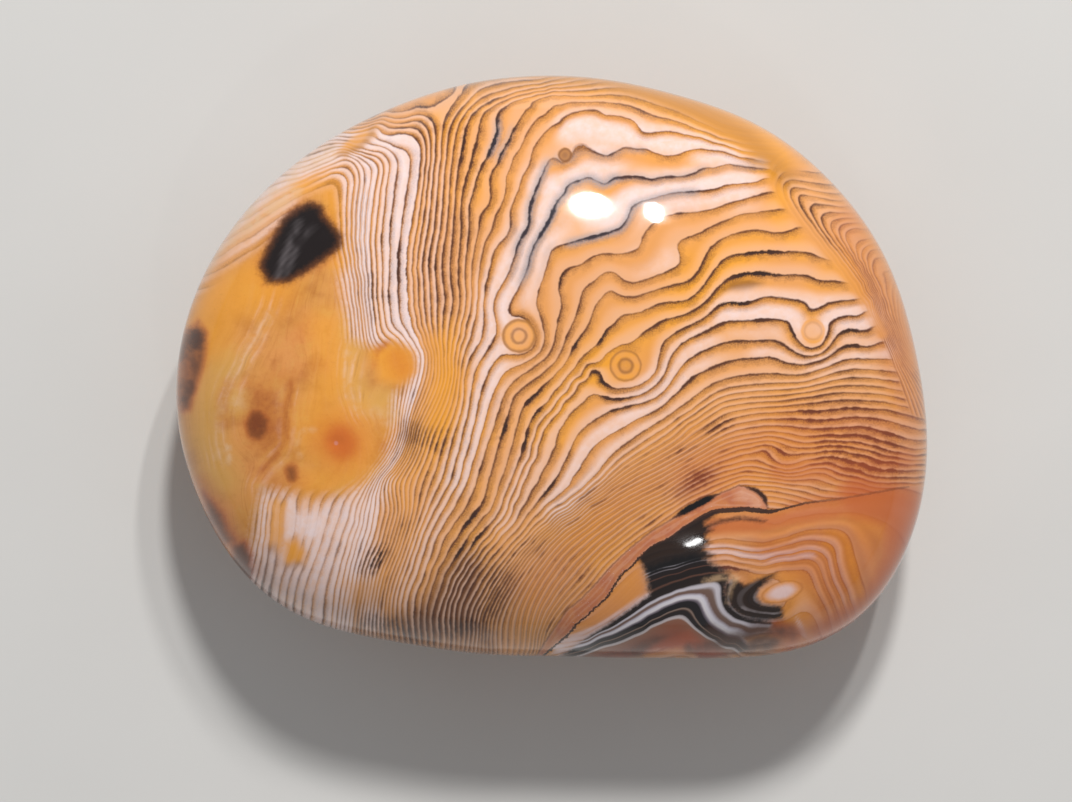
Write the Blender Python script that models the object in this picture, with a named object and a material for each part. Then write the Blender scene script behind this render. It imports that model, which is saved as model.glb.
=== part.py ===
"""Banded carnelian agate: one tumbled and polished pebble, in metres, +Z up.

The pebble lies on the small flat that its underside ends in. The origin is on that flat, at the
middle of the pebble's box, +X runs along its length and +Z through its thickness.
"""

import math

import bmesh
import bpy
import numpy as np
from mathutils import Vector

COLLECTION_NAME = "banded_carnelian_agate"
PEBBLE_NAME = "agate_pebble"
STONE_NAME = "carnelian_agate"

# Driving dimensions, in metres
THICKNESS = 0.0250
WAIST_HEIGHT = 0.0108
UNDERSIDE_DEPTH = 0.0113
DOME_LEAN = Vector((0.0006, -0.0012, 0.0))

# Distances from the middle to the waist, in metres, every 15 degrees from +X towards +Y
WAIST_RADII = (
    0.0303, 0.0292, 0.0280, 0.0267, 0.0252, 0.0243,
    0.0241, 0.0244, 0.0251, 0.0264, 0.0281, 0.0298,
    0.0310, 0.0313, 0.0309, 0.0292, 0.0262, 0.0245,
    0.0239, 0.0249, 0.0278, 0.0318, 0.0330, 0.0320,
)

# How square the sections are: 2 is an ellipse, and more is flatter on top with rounder shoulders
DOME_EXPONENT = 2.5
UNDERSIDE_EXPONENT = 2.2

# Facets round the waist and from pole to pole
SEGMENTS = 72
RINGS = 40

# Polished stone, as linear colour values
STONE_COLOUR = (0.58, 0.25, 0.08, 1.0)
STONE_ROUGHNESS = 0.08
STONE_METALLIC = 0.0

RIM_SHARP_ANGLE = math.radians(30)
CUT_TOLERANCE = 1e-7


def clear_scene():
    """Remove every object that the file starts with."""
    for thing in list(bpy.data.objects):
        bpy.data.objects.remove(thing, do_unlink=True)


def waist_radius(angle, harmonics=np.fft.rfft(WAIST_RADII) / len(WAIST_RADII)):
    """Return the waist's radius at an angle, on the smooth closed curve through WAIST_RADII."""
    radius = harmonics[0].real
    for order in range(1, len(harmonics)):
        share = 1 if 2 * order == len(WAIST_RADII) else 2
        wave = harmonics[order] * np.exp(1j * order * angle)
        radius += share * wave.real
    return radius


def section_shares(latitude, exponent):
    """Return how far out and how far up a section is at a latitude, each from 0 to 1."""
    power = 2 / exponent
    out = max(math.cos(latitude), 0.0) ** power
    up = abs(math.sin(latitude)) ** power
    return out, up


def pebble_point(direction):
    """Return the pebble's surface point that a point of the unit sphere moves to."""
    angle = math.atan2(direction.y, direction.x)
    latitude = math.asin(max(-1.0, min(1.0, direction.z)))
    above = latitude >= 0
    out, up = section_shares(latitude, DOME_EXPONENT if above else UNDERSIDE_EXPONENT)
    radius = waist_radius(angle) * out
    point = Vector((radius * math.cos(angle), radius * math.sin(angle), WAIST_HEIGHT))
    if above:
        point.z += (THICKNESS - WAIST_HEIGHT) * up
        point += DOME_LEAN * up * up
    else:
        point.z -= UNDERSIDE_DEPTH * up
    return point


def centre_on_origin(bm):
    """Move the pebble sideways so that its box is centred on the Z axis."""
    xs = [vertex.co.x for vertex in bm.verts]
    ys = [vertex.co.y for vertex in bm.verts]
    shift = Vector((-(min(xs) + max(xs)) / 2, -(min(ys) + max(ys)) / 2, 0.0))
    bmesh.ops.translate(bm, verts=bm.verts, vec=shift)


def cut_flat_rest(bm):
    """Cut the underside flat at Z = 0 and close the cut with one face."""
    bmesh.ops.bisect_plane(
        bm,
        geom=bm.verts[:] + bm.edges[:] + bm.faces[:],
        dist=CUT_TOLERANCE,
        plane_co=(0.0, 0.0, 0.0),
        plane_no=(0.0, 0.0, -1.0),
        clear_outer=True,
    )
    bmesh.ops.holes_fill(bm, edges=bm.edges[:], sides=0)
    bmesh.ops.recalc_face_normals(bm, faces=bm.faces[:])


def build_pebble(collection):
    """Build the pebble from a sphere drawn out to its waist, dome and underside."""
    bm = bmesh.new()
    bmesh.ops.create_uvsphere(bm, u_segments=SEGMENTS, v_segments=RINGS, radius=1.0)
    for vertex in bm.verts:
        vertex.co = pebble_point(vertex.co)
    centre_on_origin(bm)
    cut_flat_rest(bm)
    mesh = bpy.data.meshes.new(PEBBLE_NAME)
    bm.to_mesh(mesh)
    bm.free()
    mesh.shade_smooth()
    mesh.set_sharp_from_angle(angle=RIM_SHARP_ANGLE)
    mesh.materials.append(stone_material())
    pebble = bpy.data.objects.new(PEBBLE_NAME, mesh)
    collection.objects.link(pebble)
    return pebble


def stone_material():
    """Make the polished carnelian's material."""
    material = bpy.data.materials.new(STONE_NAME)
    material.use_nodes = True
    shader = material.node_tree.nodes["Principled BSDF"]
    shader.inputs["Base Color"].default_value = STONE_COLOUR
    shader.inputs["Roughness"].default_value = STONE_ROUGHNESS
    shader.inputs["Metallic"].default_value = STONE_METALLIC
    return material


def main():
    """Build the whole part."""
    clear_scene()
    collection = bpy.data.collections.new(COLLECTION_NAME)
    bpy.context.scene.collection.children.link(collection)
    build_pebble(collection)


if __name__ == "__main__":
    main()
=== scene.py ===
"""Looks of a polished banded carnelian agate pebble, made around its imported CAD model."""

import logging
import math
from dataclasses import dataclass, field
from enum import Enum
from typing import Any, ClassVar

import bpy
import numpy as np
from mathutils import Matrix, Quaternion, Vector
from mathutils.bvhtree import BVHTree


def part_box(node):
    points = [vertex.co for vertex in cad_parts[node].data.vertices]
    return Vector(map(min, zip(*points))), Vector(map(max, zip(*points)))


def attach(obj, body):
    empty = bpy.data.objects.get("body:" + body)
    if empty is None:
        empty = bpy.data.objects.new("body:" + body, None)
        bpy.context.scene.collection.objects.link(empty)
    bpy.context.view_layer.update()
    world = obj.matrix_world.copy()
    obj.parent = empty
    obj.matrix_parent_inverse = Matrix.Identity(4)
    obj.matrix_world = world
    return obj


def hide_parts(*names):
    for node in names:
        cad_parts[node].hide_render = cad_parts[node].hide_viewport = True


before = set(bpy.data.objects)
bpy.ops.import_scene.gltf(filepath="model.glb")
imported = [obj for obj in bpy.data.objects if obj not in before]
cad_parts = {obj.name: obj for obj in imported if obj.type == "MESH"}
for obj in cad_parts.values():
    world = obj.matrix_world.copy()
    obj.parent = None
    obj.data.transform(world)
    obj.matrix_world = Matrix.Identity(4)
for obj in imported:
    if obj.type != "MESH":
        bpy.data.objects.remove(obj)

LOG = logging.getLogger("agate")

BODY = "root"
PEBBLE_NODE = "agate_pebble"
PIECE_NAME = "polished_agate"

Point = tuple[float, float]
Line = tuple[Point, ...]
Numbers = tuple[float, ...]


def points(*numbers: float) -> Line:
    """Return the points whose X and Y stand in turn."""
    return tuple(zip(numbers[::2], numbers[1::2]))


def linear(red: float, green: float, blue: float) -> tuple[float, float, float, float]:
    """Turn a colour as the eye names it, from 0 to 255, into the shader's linear values.

    Args:
        red: The red share.
        green: The green share.
        blue: The blue share.

    Returns:
        The colour with full alpha.
    """
    shares = [value / 255 for value in (red, green, blue)]
    return (*(s / 12.92 if s <= 0.04045 else ((s + 0.055) / 1.055) ** 2.4 for s in shares), 1.0)


def smoothstep(low: float, high: float, values: np.ndarray) -> np.ndarray:
    """Return 0 at low, 1 at high and a soft step between."""
    share = np.clip((values - low) / (high - low), 0.0, 1.0)
    return share * share * (3 - 2 * share)


class Tint(Enum):
    """What a mark does to the bands that it lies on. Each is an attribute of the mesh."""

    INK = "ink"
    BLACK = "black"
    PALE = "pale"
    AMBER = "amber"
    PLAIN = "plain"
    BRICK = "brick"
    BROWN = "brown"
    GREY = "grey"
    FINE = "fine"
    CREAM = "cream"


class Bands(Enum):
    """The sets of bands. Each has a level and a spacing as attributes of the mesh."""

    MAIN = "main"
    CRESCENT = "crescent"
    CHEVRON = "chevron"
    HONEY = "honey"


class Edge(Enum):
    """The lines whose distance, in photo pixels, is an attribute of the mesh."""

    CRESCENT = "crescent_edge"
    LOWER = "lower_edge"
    VEIN = "vein_edge"
    HONEY = "honey_edge"


# Guide lines of the main bands: a level, then X and Y of its points in turn, in the photograph's pixels
MAIN_GUIDES: tuple[Numbers, ...] = (
    (-3, 265, 498, 262, 515, 260, 535, 256, 555, 252, 570, 247, 585),
    (-2, 203, 277, 230, 264, 255, 249, 275, 234),
    (-1, 205, 263, 235, 246, 262, 230, 285, 214),
    (-1, 278, 492, 272, 505, 270, 525, 268, 545, 266, 565, 262, 585, 260, 600),
    (0, 211, 249, 240, 232, 268, 215, 290, 202),
    (1, 300, 492, 297, 510, 295, 530, 290, 550, 284, 570, 279, 590, 277, 608),
    (3, 325, 495, 318, 515, 312, 540, 305, 560, 298, 580, 294, 600, 293, 615),
    (5, 350, 492, 341, 510, 334, 530, 326, 555, 318, 578, 312, 600, 310, 620),
    (7, 372, 478, 362, 495, 354, 522, 345, 550, 338, 575, 333, 605, 331, 625),
    (10, 405, 432, 398, 452, 388, 468, 378, 480, 372, 495, 368, 515, 362, 540, 355, 565, 350, 590,
     346, 612, 344, 628),
    (14, 413, 430, 408, 450, 400, 465, 390, 478, 388, 495, 390, 510, 386, 525, 381, 545, 371, 566,
     366, 590, 362, 612, 360, 630),
    (1, 228, 230, 250, 217, 268, 206, 285, 196, 299, 189, 308, 186, 322, 179, 334, 173, 342, 175, 347, 182,
     347, 190, 346, 205, 346, 225, 347, 245, 351, 270, 354, 290, 357, 310, 359, 330),
    (2, 262, 200, 280, 191, 298, 184, 312, 177, 328, 171, 340, 168, 349, 170, 353, 175, 354, 182, 352, 200,
     351, 219, 351, 240, 354, 260, 358, 285, 360, 310, 362, 330),
    (4, 281, 176, 292, 175, 303, 173, 312, 169, 324, 164, 334, 160, 341, 156, 348, 156, 355, 159, 360, 164,
     363, 170, 364, 178, 363, 190, 361, 203, 360, 216, 359, 240, 361, 265, 364, 290, 366, 310, 369, 332),
    (6, 352, 153, 360, 155, 367, 158, 372, 160, 376, 164, 378, 170, 377, 178, 375, 188, 373, 204, 371, 217,
     370, 232, 370, 250, 371, 262, 372, 280, 372, 298, 374, 313, 375, 325, 377, 336),
    (8, 356, 149, 367, 151, 374, 152, 381, 153, 385, 157, 388, 161, 389, 167, 388, 175, 386, 186, 385, 198,
     383, 217, 381, 237, 381, 250, 382, 268, 382, 288, 383, 305, 385, 320, 389, 331, 396, 336),
    (9, 362, 142, 370, 144, 379, 146, 386, 148, 391, 151, 395, 156, 397, 162, 397, 170, 396, 181, 394, 197,
     391, 217, 390, 232, 390, 250, 389, 268, 388, 289, 389, 305, 391, 322, 397, 331, 404, 337),
    (10, 378, 140, 392, 147, 400, 149, 405, 151, 408, 155, 410, 160, 409, 170, 407, 185, 405, 200,
     402, 218, 400, 236, 398, 255, 398, 275, 398, 292, 399, 310, 402, 325, 409, 337, 416, 347),
    (11, 375, 127, 380, 132, 384, 135, 391, 135, 399, 133, 406, 134, 412, 136, 417, 140, 420, 145,
     421, 151, 421, 160, 420, 174, 418, 190, 415, 207, 412, 226, 409, 243, 408, 262, 408, 280, 409, 300,
     412, 320, 418, 337, 424, 352),
    (13, 380, 120, 386, 121, 391, 123, 399, 124, 407, 123, 414, 121, 420, 121, 424, 125, 428, 131,
     430, 140, 430, 152, 428, 172, 426, 192, 424, 213, 421, 232, 418, 250, 416, 268, 418, 290, 418, 305,
     421, 325, 427, 345, 431, 362),
    (15, 392, 113, 409, 111, 427, 108, 442, 101, 458, 95, 462, 96, 455, 103, 449, 112, 445, 120, 442, 136,
     441, 158, 438, 187, 436, 210, 434, 232, 430, 253, 429, 272, 430, 292, 431, 308, 432, 325, 435, 345,
     437, 362),
    (15.5, 372, 117, 386, 108, 404, 101, 424, 94, 442, 89),
    (17, 540, 84, 526, 85, 513, 87, 503, 90, 493, 93, 483, 97, 475, 103, 468, 110, 463, 117, 458, 127,
     455, 140, 453, 153, 451, 170, 450, 185, 449, 205, 447, 226, 444, 245, 442, 265, 443, 280, 445, 297,
     443, 315, 442, 340, 443, 362, 443, 380),
    (18, 545, 86, 533, 88, 521, 91, 511, 94, 502, 98, 489, 104, 478, 110, 472, 115, 468, 123, 465, 134,
     463, 145, 461, 156, 458, 170, 456, 186, 455, 205, 453, 226, 452, 245, 450, 268, 451, 284, 453, 302,
     449, 325, 447, 350, 447, 375),
    (19, 560, 88, 545, 91, 528, 94, 511, 98, 502, 101, 494, 105, 486, 110, 482, 118, 479, 130, 476, 143,
     473, 154, 470, 168, 465, 184, 462, 196, 461, 212, 462, 228, 460, 250, 459, 270, 459, 286, 460, 298,
     457, 320, 452, 345, 451, 370),
    (20, 572, 91, 555, 91, 540, 94, 526, 97, 513, 101, 507, 106, 500, 112, 497, 121, 497, 132, 494, 143,
     489, 154, 483, 164, 478, 175, 474, 190, 469, 206, 469, 226, 467, 248, 465, 270, 466, 290, 465, 310,
     460, 335, 455, 355, 454, 375),
    (21, 590, 96, 565, 95, 550, 95, 540, 98, 534, 101, 532, 107, 524, 114, 519, 122, 513, 131, 508, 143,
     502, 152, 498, 163, 491, 174, 490, 184, 491, 196, 488, 207, 481, 215, 479, 228, 475, 246, 472, 264,
     471, 285, 471, 302, 466, 325, 461, 345, 458, 360, 457, 378),
    (22, 722, 139, 699, 130, 679, 122, 659, 117, 638, 109, 622, 104, 603, 102, 587, 102, 572, 102,
     562, 105, 554, 106, 551, 110, 545, 115, 537, 119, 531, 126, 525, 137, 521, 147, 513, 158, 510, 169,
     506, 178, 506, 188, 503, 202, 496, 214, 493, 227, 486, 240, 482, 256, 479, 275, 478, 295, 476, 313,
     471, 332, 465, 350, 461, 368),
    (23, 742, 151, 723, 144, 701, 137, 680, 133, 665, 131, 652, 133, 643, 133, 639, 128, 636, 122,
     627, 118, 612, 115, 604, 115, 597, 110, 587, 110, 573, 113, 564, 117, 559, 123, 550, 127, 543, 135,
     535, 145, 531, 155, 530, 164, 523, 175, 519, 188, 513, 202, 510, 212, 511, 226, 506, 237, 497, 246,
     492, 258, 489, 272, 485, 288, 483, 304, 484, 322, 482, 338, 474, 352, 467, 366, 463, 380),
    (24, 766, 162, 748, 158, 734, 155, 721, 151, 708, 150, 690, 150, 680, 154, 668, 156, 655, 153,
     646, 149, 635, 149, 627, 147, 617, 151, 608, 156, 598, 154, 590, 149, 581, 146, 574, 148, 572, 153,
     570, 160, 563, 163, 557, 160, 552, 157, 547, 163, 541, 177, 535, 193, 530, 207, 529, 226, 520, 240,
     515, 256, 509, 273, 501, 287, 495, 298, 494, 312, 496, 325, 494, 338, 487, 351, 479, 363, 474, 381,
     470, 400, 467, 417, 463, 431, 459, 450, 454, 468, 450, 483, 442, 497, 433, 513, 423, 534, 415, 558,
     407, 582, 402, 600, 401, 615, 404, 637),
    (25, 764, 168, 748, 167, 730, 164, 716, 168, 704, 168, 693, 174, 680, 177, 665, 177, 652, 180,
     640, 177, 625, 177, 614, 178, 607, 184, 598, 182, 589, 177, 578, 181, 569, 184, 564, 195, 557, 201,
     551, 217, 543, 231, 534, 246, 529, 262, 521, 283, 512, 300, 509, 313, 512, 316, 522, 317, 531, 325,
     536, 335, 534, 346, 526, 353, 514, 355, 504, 354, 496, 360, 489, 371, 482, 389, 477, 411, 471, 437,
     464, 460, 459, 481, 450, 496, 440, 515, 430, 535, 421, 562, 412, 586, 407, 608, 408, 624, 410, 638),
    (26, 766, 178, 757, 182, 740, 184, 726, 185, 717, 189, 700, 191, 681, 192, 664, 195, 651, 199,
     640, 202, 632, 207, 629, 216, 622, 227, 610, 232, 597, 236, 577, 241, 563, 245, 551, 251, 548, 263,
     543, 278, 538, 293, 537, 309, 543, 328, 544, 340, 538, 354, 524, 363, 508, 370, 499, 381, 492, 397,
     486, 416, 481, 434, 476, 453, 470, 472, 464, 489, 454, 509, 441, 530, 432, 553, 423, 580, 415, 608,
     414, 624, 416, 638),
    (27, 770, 192, 755, 196, 742, 200, 730, 203, 716, 208, 698, 212, 676, 214, 663, 217, 650, 227,
     643, 235, 640, 246, 630, 252, 614, 254, 601, 254, 590, 258, 581, 265, 569, 268, 562, 275, 559, 290,
     562, 305, 558, 321, 555, 340, 549, 354, 536, 365, 519, 377, 507, 390, 500, 408, 493, 430, 485, 452,
     478, 476, 471, 496, 458, 518, 445, 537, 436, 562, 427, 585, 421, 606, 420, 625, 421, 638),
    (28, 784, 209, 768, 211, 752, 213, 741, 214, 730, 219, 715, 225, 700, 233, 683, 239, 677, 245,
     680, 257, 678, 266, 664, 273, 648, 279, 633, 283, 623, 280, 614, 272, 604, 273, 595, 281, 584, 289,
     580, 303, 573, 323, 564, 344, 555, 362, 540, 376, 524, 387, 513, 399, 507, 420, 501, 438, 495, 460,
     488, 484, 482, 505, 470, 520, 458, 537, 449, 550, 439, 567, 432, 586, 427, 606, 426, 622, 428, 638),
    (29, 799, 227, 790, 231, 775, 233, 757, 230, 742, 232, 730, 235, 717, 242, 708, 252, 701, 267,
     692, 279, 677, 284, 662, 288, 646, 293, 631, 297, 619, 295, 611, 290, 603, 296, 594, 309, 588, 325,
     576, 342, 568, 358, 557, 372, 545, 384, 531, 398, 521, 412, 515, 433, 508, 458, 500, 482, 493, 504,
     482, 518, 469, 535, 461, 550, 449, 568, 441, 588, 435, 606, 432, 622, 433, 638),
    (30, 825, 259, 812, 254, 800, 252, 785, 252, 765, 252, 745, 254, 731, 256, 720, 263, 709, 278,
     699, 291, 688, 300, 676, 302, 663, 303, 650, 308, 637, 313, 622, 315, 615, 324, 606, 331, 600, 342,
     588, 352, 576, 366, 563, 382, 549, 400, 536, 413, 529, 426, 524, 445, 515, 471, 505, 495, 494, 520,
     479, 536, 467, 553, 456, 571, 447, 592, 440, 611, 440, 636),
    (31, 848, 283, 835, 281, 820, 281, 808, 276, 795, 275, 775, 275, 755, 273, 740, 275, 727, 280,
     717, 289, 708, 300, 696, 309, 681, 316, 667, 319, 655, 326, 644, 332, 634, 341, 620, 345, 606, 353,
     596, 364, 582, 376, 567, 392, 552, 410, 541, 422, 535, 438, 529, 460, 517, 486, 508, 508, 492, 533,
     477, 551, 464, 569, 454, 587, 447, 606, 446, 634),
    (32, 857, 299, 842, 301, 828, 304, 818, 309, 810, 310, 804, 302, 793, 300, 778, 298, 764, 297,
     754, 301, 744, 304, 728, 303, 717, 307, 706, 317, 691, 325, 676, 333, 664, 342, 660, 354, 656, 371,
     644, 383, 628, 388, 611, 388, 602, 381, 598, 371, 590, 371, 579, 383, 565, 401, 552, 419, 543, 431,
     538, 445, 531, 464, 521, 486, 513, 506, 496, 532, 481, 551, 468, 569, 458, 586, 452, 603, 450, 620,
     451, 636),
    (33, 866, 311, 858, 316, 848, 316, 836, 319, 829, 326, 828, 336, 821, 346, 810, 349, 800, 343,
     793, 333, 789, 323, 778, 320, 760, 320, 742, 321, 727, 322, 714, 327, 703, 333, 689, 339, 677, 348,
     669, 361, 663, 376, 652, 388, 640, 395, 622, 399, 608, 398, 597, 394, 584, 402, 569, 416, 560, 430,
     556, 446, 548, 463, 538, 483, 527, 502, 516, 520, 498, 541, 484, 558, 472, 574, 462, 592, 456, 608,
     455, 634),
    (34, 874, 326, 867, 331, 850, 330, 838, 335, 831, 343, 822, 353, 809, 356, 795, 352, 784, 345,
     776, 341, 760, 341, 742, 341, 728, 342, 713, 347, 698, 354, 684, 364, 674, 377, 662, 393, 648, 401,
     632, 405, 617, 409, 602, 416, 588, 425, 576, 437, 569, 453, 560, 472, 549, 489, 537, 503, 524, 520,
     506, 541, 491, 558, 478, 576, 468, 594, 461, 612, 461, 634),
    (35, 881, 342, 868, 347, 853, 345, 840, 349, 830, 356, 815, 362, 800, 365, 784, 362, 771, 357,
     758, 358, 740, 359, 724, 363, 709, 369, 695, 376, 684, 386, 671, 398, 657, 410, 642, 417, 626, 426,
     607, 436, 593, 447, 583, 461, 572, 477, 560, 493, 545, 505, 533, 518, 514, 541, 498, 560, 485, 577,
     474, 596, 467, 613, 466, 634),
    (37, 893, 372, 878, 370, 860, 369, 842, 371, 822, 377, 804, 382, 785, 383, 760, 384, 740, 386,
     722, 390, 706, 399, 690, 411, 672, 423, 652, 436, 632, 450, 612, 466, 600, 479, 583, 494, 566, 507,
     546, 522, 528, 539, 511, 558, 497, 577, 486, 596, 477, 614, 475, 634),
    (40, 903, 399, 880, 394, 860, 393, 835, 393, 822, 395, 801, 398, 781, 401, 760, 402, 740, 404,
     722, 408, 706, 418, 690, 428),
    (42, 908, 415, 888, 410, 870, 409, 850, 408, 833, 410, 812, 411, 799, 411, 780, 412, 760, 413,
     742, 416, 729, 420, 714, 429, 700, 438, 684, 448, 665, 459, 640, 472, 614, 488, 588, 505, 562, 524,
     545, 540, 528, 560, 514, 580, 502, 600, 494, 620, 492, 638),
    (44, 914, 440, 894, 435, 879, 431, 862, 427, 840, 428, 820, 429, 801, 428, 779, 426, 757, 427,
     738, 430, 722, 436),
    (46, 916, 456, 892, 452, 868, 445, 843, 442, 818, 442, 804, 443, 790, 440, 776, 437, 757, 438,
     738, 441, 718, 448),
    (48, 917, 464, 894, 462, 868, 456, 843, 451, 825, 451, 805, 453, 790, 454, 780, 451, 774, 446,
     762, 445, 738, 450, 715, 459),
    (49, 917, 470, 897, 471, 880, 470, 862, 464, 840, 459, 815, 459, 799, 462, 788, 465, 778, 463,
     770, 456, 762, 450, 740, 455, 715, 464),
    (50, 915, 478, 888, 478, 868, 476, 843, 469, 818, 464, 800, 468, 786, 470, 770, 466, 757, 461,
     738, 463, 714, 470, 690, 482, 664, 499, 640, 512, 612, 532, 588, 552, 566, 576, 549, 600, 538, 625,
     534, 648),
    (52, 912, 488, 881, 488, 861, 483, 840, 480, 824, 473, 810, 473, 795, 476, 780, 475, 766, 473,
     750, 471, 734, 474, 712, 481, 688, 493, 664, 507),
    (54, 908, 496, 860, 494, 820, 490, 795, 485, 775, 482, 757, 481, 740, 480, 722, 488, 705, 496,
     688, 503, 672, 514, 655, 526, 640, 536, 622, 550, 604, 566, 590, 584, 572, 602, 557, 620, 548, 636,
     544, 652),
)

# How white the main bands are at the levels between which it changes, from 0 to 1
WHITENESS: tuple[tuple[float, float], ...] = (
    (-3.0, 0.66), (1.0, 0.70), (1.9, 0.66), (2.1, 0.44), (2.9, 0.50), (3.1, 0.72), (3.9, 0.78),
    (4.1, 0.95), (5.9, 0.95), (6.1, 0.50), (7.9, 0.58), (8.1, 0.76), (8.9, 0.82), (9.1, 1.0),
    (10.9, 0.96), (11.2, 0.40), (13.2, 0.0),
)

# How much more the inked dark lines swell in some sets of bands
BOLDNESS: dict[Bands, float] = {Bands.CHEVRON: 1.9, Bands.MAIN: 1.5}

# Guide lines of the nested crescents by the right edge
CRESCENT_GUIDES: tuple[Numbers, ...] = (
    (0, 815, 183, 800, 181, 788, 181, 783, 185, 784, 193, 788, 203, 794, 213, 802, 225, 811, 237, 821, 250,
     832, 265, 843, 281, 853, 297, 862, 312, 871, 330, 880, 350, 887, 368, 893, 385, 897, 400),
    (1, 822, 192, 814, 191, 807, 189, 800, 188, 794, 187, 790, 190, 791, 198, 794, 204, 801, 215, 810, 227,
     820, 240, 832, 256, 843, 271, 854, 288, 863, 303, 873, 321, 882, 341, 890, 361, 897, 381, 903, 400),
    (2, 840, 201, 830, 200, 822, 198, 813, 196, 806, 195, 801, 195, 798, 197, 799, 202, 802, 209, 808, 218,
     817, 231, 828, 246, 840, 262, 851, 277, 861, 293, 871, 311, 881, 331, 889, 350),
    (3, 848, 206, 831, 205, 818, 204, 812, 206, 810, 209, 813, 216, 819, 227, 829, 241, 841, 256, 852, 271,
     862, 287, 872, 304),
    (4, 852, 213, 840, 213, 832, 212, 825, 214, 821, 217, 822, 222, 826, 231, 834, 242, 845, 256, 856, 271,
     865, 284, 874, 300),
    (5, 856, 218, 846, 218, 836, 220, 831, 222, 831, 227, 835, 236, 843, 248, 852, 261, 861, 274),
    (6, 862, 223, 850, 223, 842, 225, 839, 228, 840, 235, 845, 244, 852, 255, 860, 267, 868, 280),
    (7, 868, 229, 857, 228, 849, 230, 845, 235, 846, 242, 851, 252, 859, 265, 867, 278, 876, 294),
    (8, 874, 238, 865, 240, 858, 243, 856, 250, 858, 260, 864, 273, 872, 288, 880, 305),
    (10, 882, 250, 873, 249, 868, 255, 868, 265, 872, 278, 879, 295, 886, 315),
    (12, 892, 270, 887, 271, 886, 279, 887, 289, 889, 300, 892, 311, 896, 325, 903, 345),
)

# Guide lines of the bent bands below the crack
CHEVRON_GUIDES: tuple[Numbers, ...] = (
    (0, 716, 512, 745, 511, 770, 513, 797, 505, 830, 501, 860, 495, 900, 488),
    (1, 700, 534, 722, 524, 745, 519, 765, 521, 790, 518, 820, 513, 850, 512, 880, 520, 900, 535),
    (2, 685, 548, 710, 541, 740, 541, 765, 543, 785, 538, 800, 532, 820, 529, 843, 531, 852, 545, 858, 565,
     866, 590, 872, 610),
    (3, 668, 556, 690, 551, 708, 548, 740, 549, 765, 550, 785, 545, 800, 541, 820, 541, 832, 545, 836, 560,
     842, 580, 850, 600, 856, 616),
    (4, 650, 570, 670, 564, 690, 558, 712, 555, 740, 558, 762, 561, 790, 554, 820, 552, 828, 560, 832, 578,
     841, 597, 847, 614),
    (5, 650, 577, 675, 570, 692, 564, 712, 561, 735, 562, 765, 566, 795, 561, 812, 560, 820, 569, 826, 586,
     834, 603, 840, 620),
    (6, 650, 584, 670, 577, 690, 571, 708, 567, 730, 566, 745, 569, 765, 573, 785, 570, 806, 570, 813, 580,
     819, 595, 827, 610, 831, 625),
    (6.5, 655, 589, 682, 579, 704, 574, 720, 573, 732, 574, 745, 579, 737, 586, 732, 596, 734, 606,
     742, 613, 758, 616, 778, 617),
    (6.2, 778, 574, 760, 581, 748, 589, 742, 600, 748, 608, 765, 612, 778, 612),
    (5.8, 775, 582, 762, 586, 754, 594, 755, 601, 766, 606, 780, 605),
    (7.4, 588, 640, 610, 629, 630, 617, 642, 609, 656, 601, 670, 595, 684, 590, 698, 587, 710, 585,
     716, 585, 718, 591, 719, 600, 722, 609, 729, 616, 742, 622, 758, 625, 778, 626, 800, 620, 811, 627,
     816, 638),
    (8.34, 580, 646, 606, 635, 630, 623, 644, 615, 660, 606, 674, 600, 688, 597, 698, 596, 702, 600,
     705, 608, 712, 619, 724, 627, 742, 633, 768, 636),
    (7.6, 700, 590, 709, 588, 713, 593, 715, 601, 718, 610, 726, 618, 742, 625),
    (7.86, 696, 594, 704, 595, 709, 602, 713, 611, 719, 619, 728, 626, 745, 632),
    (8.84, 695, 602, 699, 605, 702, 612, 707, 621, 715, 629, 730, 637),
    (9.28, 574, 651, 600, 641, 630, 630, 644, 624, 660, 615, 674, 608, 686, 605, 692, 607, 697, 616,
     704, 626, 714, 634, 728, 642, 744, 649),
    (10.66, 590, 652, 612, 645, 634, 636, 650, 627, 666, 620, 680, 617, 685, 619, 692, 626, 701, 633,
     714, 640, 734, 648, 750, 656),
    (12.4, 655, 646, 668, 638, 680, 634, 692, 640, 705, 650),
)

# Colours of the striped bent bands, level by level, as the eye names them
CHEVRON_STRIPES: tuple[tuple[float, tuple[int, int, int]], ...] = (
    (3.60, (18, 13, 14)), (4.25, (22, 17, 18)), (4.38, (176, 170, 176)), (4.50, (24, 18, 19)),
    (4.72, (28, 22, 22)), (4.84, (128, 120, 124)), (4.96, (26, 19, 19)), (5.55, (30, 20, 18)),
    (5.66, (92, 60, 48)), (5.80, (28, 18, 16)), (6.40, (26, 17, 15)), (6.52, (98, 64, 50)),
    (6.66, (26, 17, 15)), (7.18, (34, 22, 19)), (7.32, (196, 188, 194)), (7.46, (206, 198, 204)),
    (7.62, (120, 94, 82)), (7.84, (116, 88, 78)), (8.04, (190, 180, 188)), (8.20, (222, 216, 224)),
    (8.48, (228, 220, 222)), (8.68, (132, 120, 130)), (8.90, (26, 21, 26)), (9.50, (22, 17, 20)),
    (9.66, (150, 126, 112)), (9.80, (70, 50, 42)), (9.94, (30, 22, 22)), (10.34, (38, 27, 25)),
    (10.50, (184, 174, 176)), (10.74, (214, 204, 202)),
    (10.94, (140, 104, 84)), (12.60, (150, 70, 40)),
)

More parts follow.
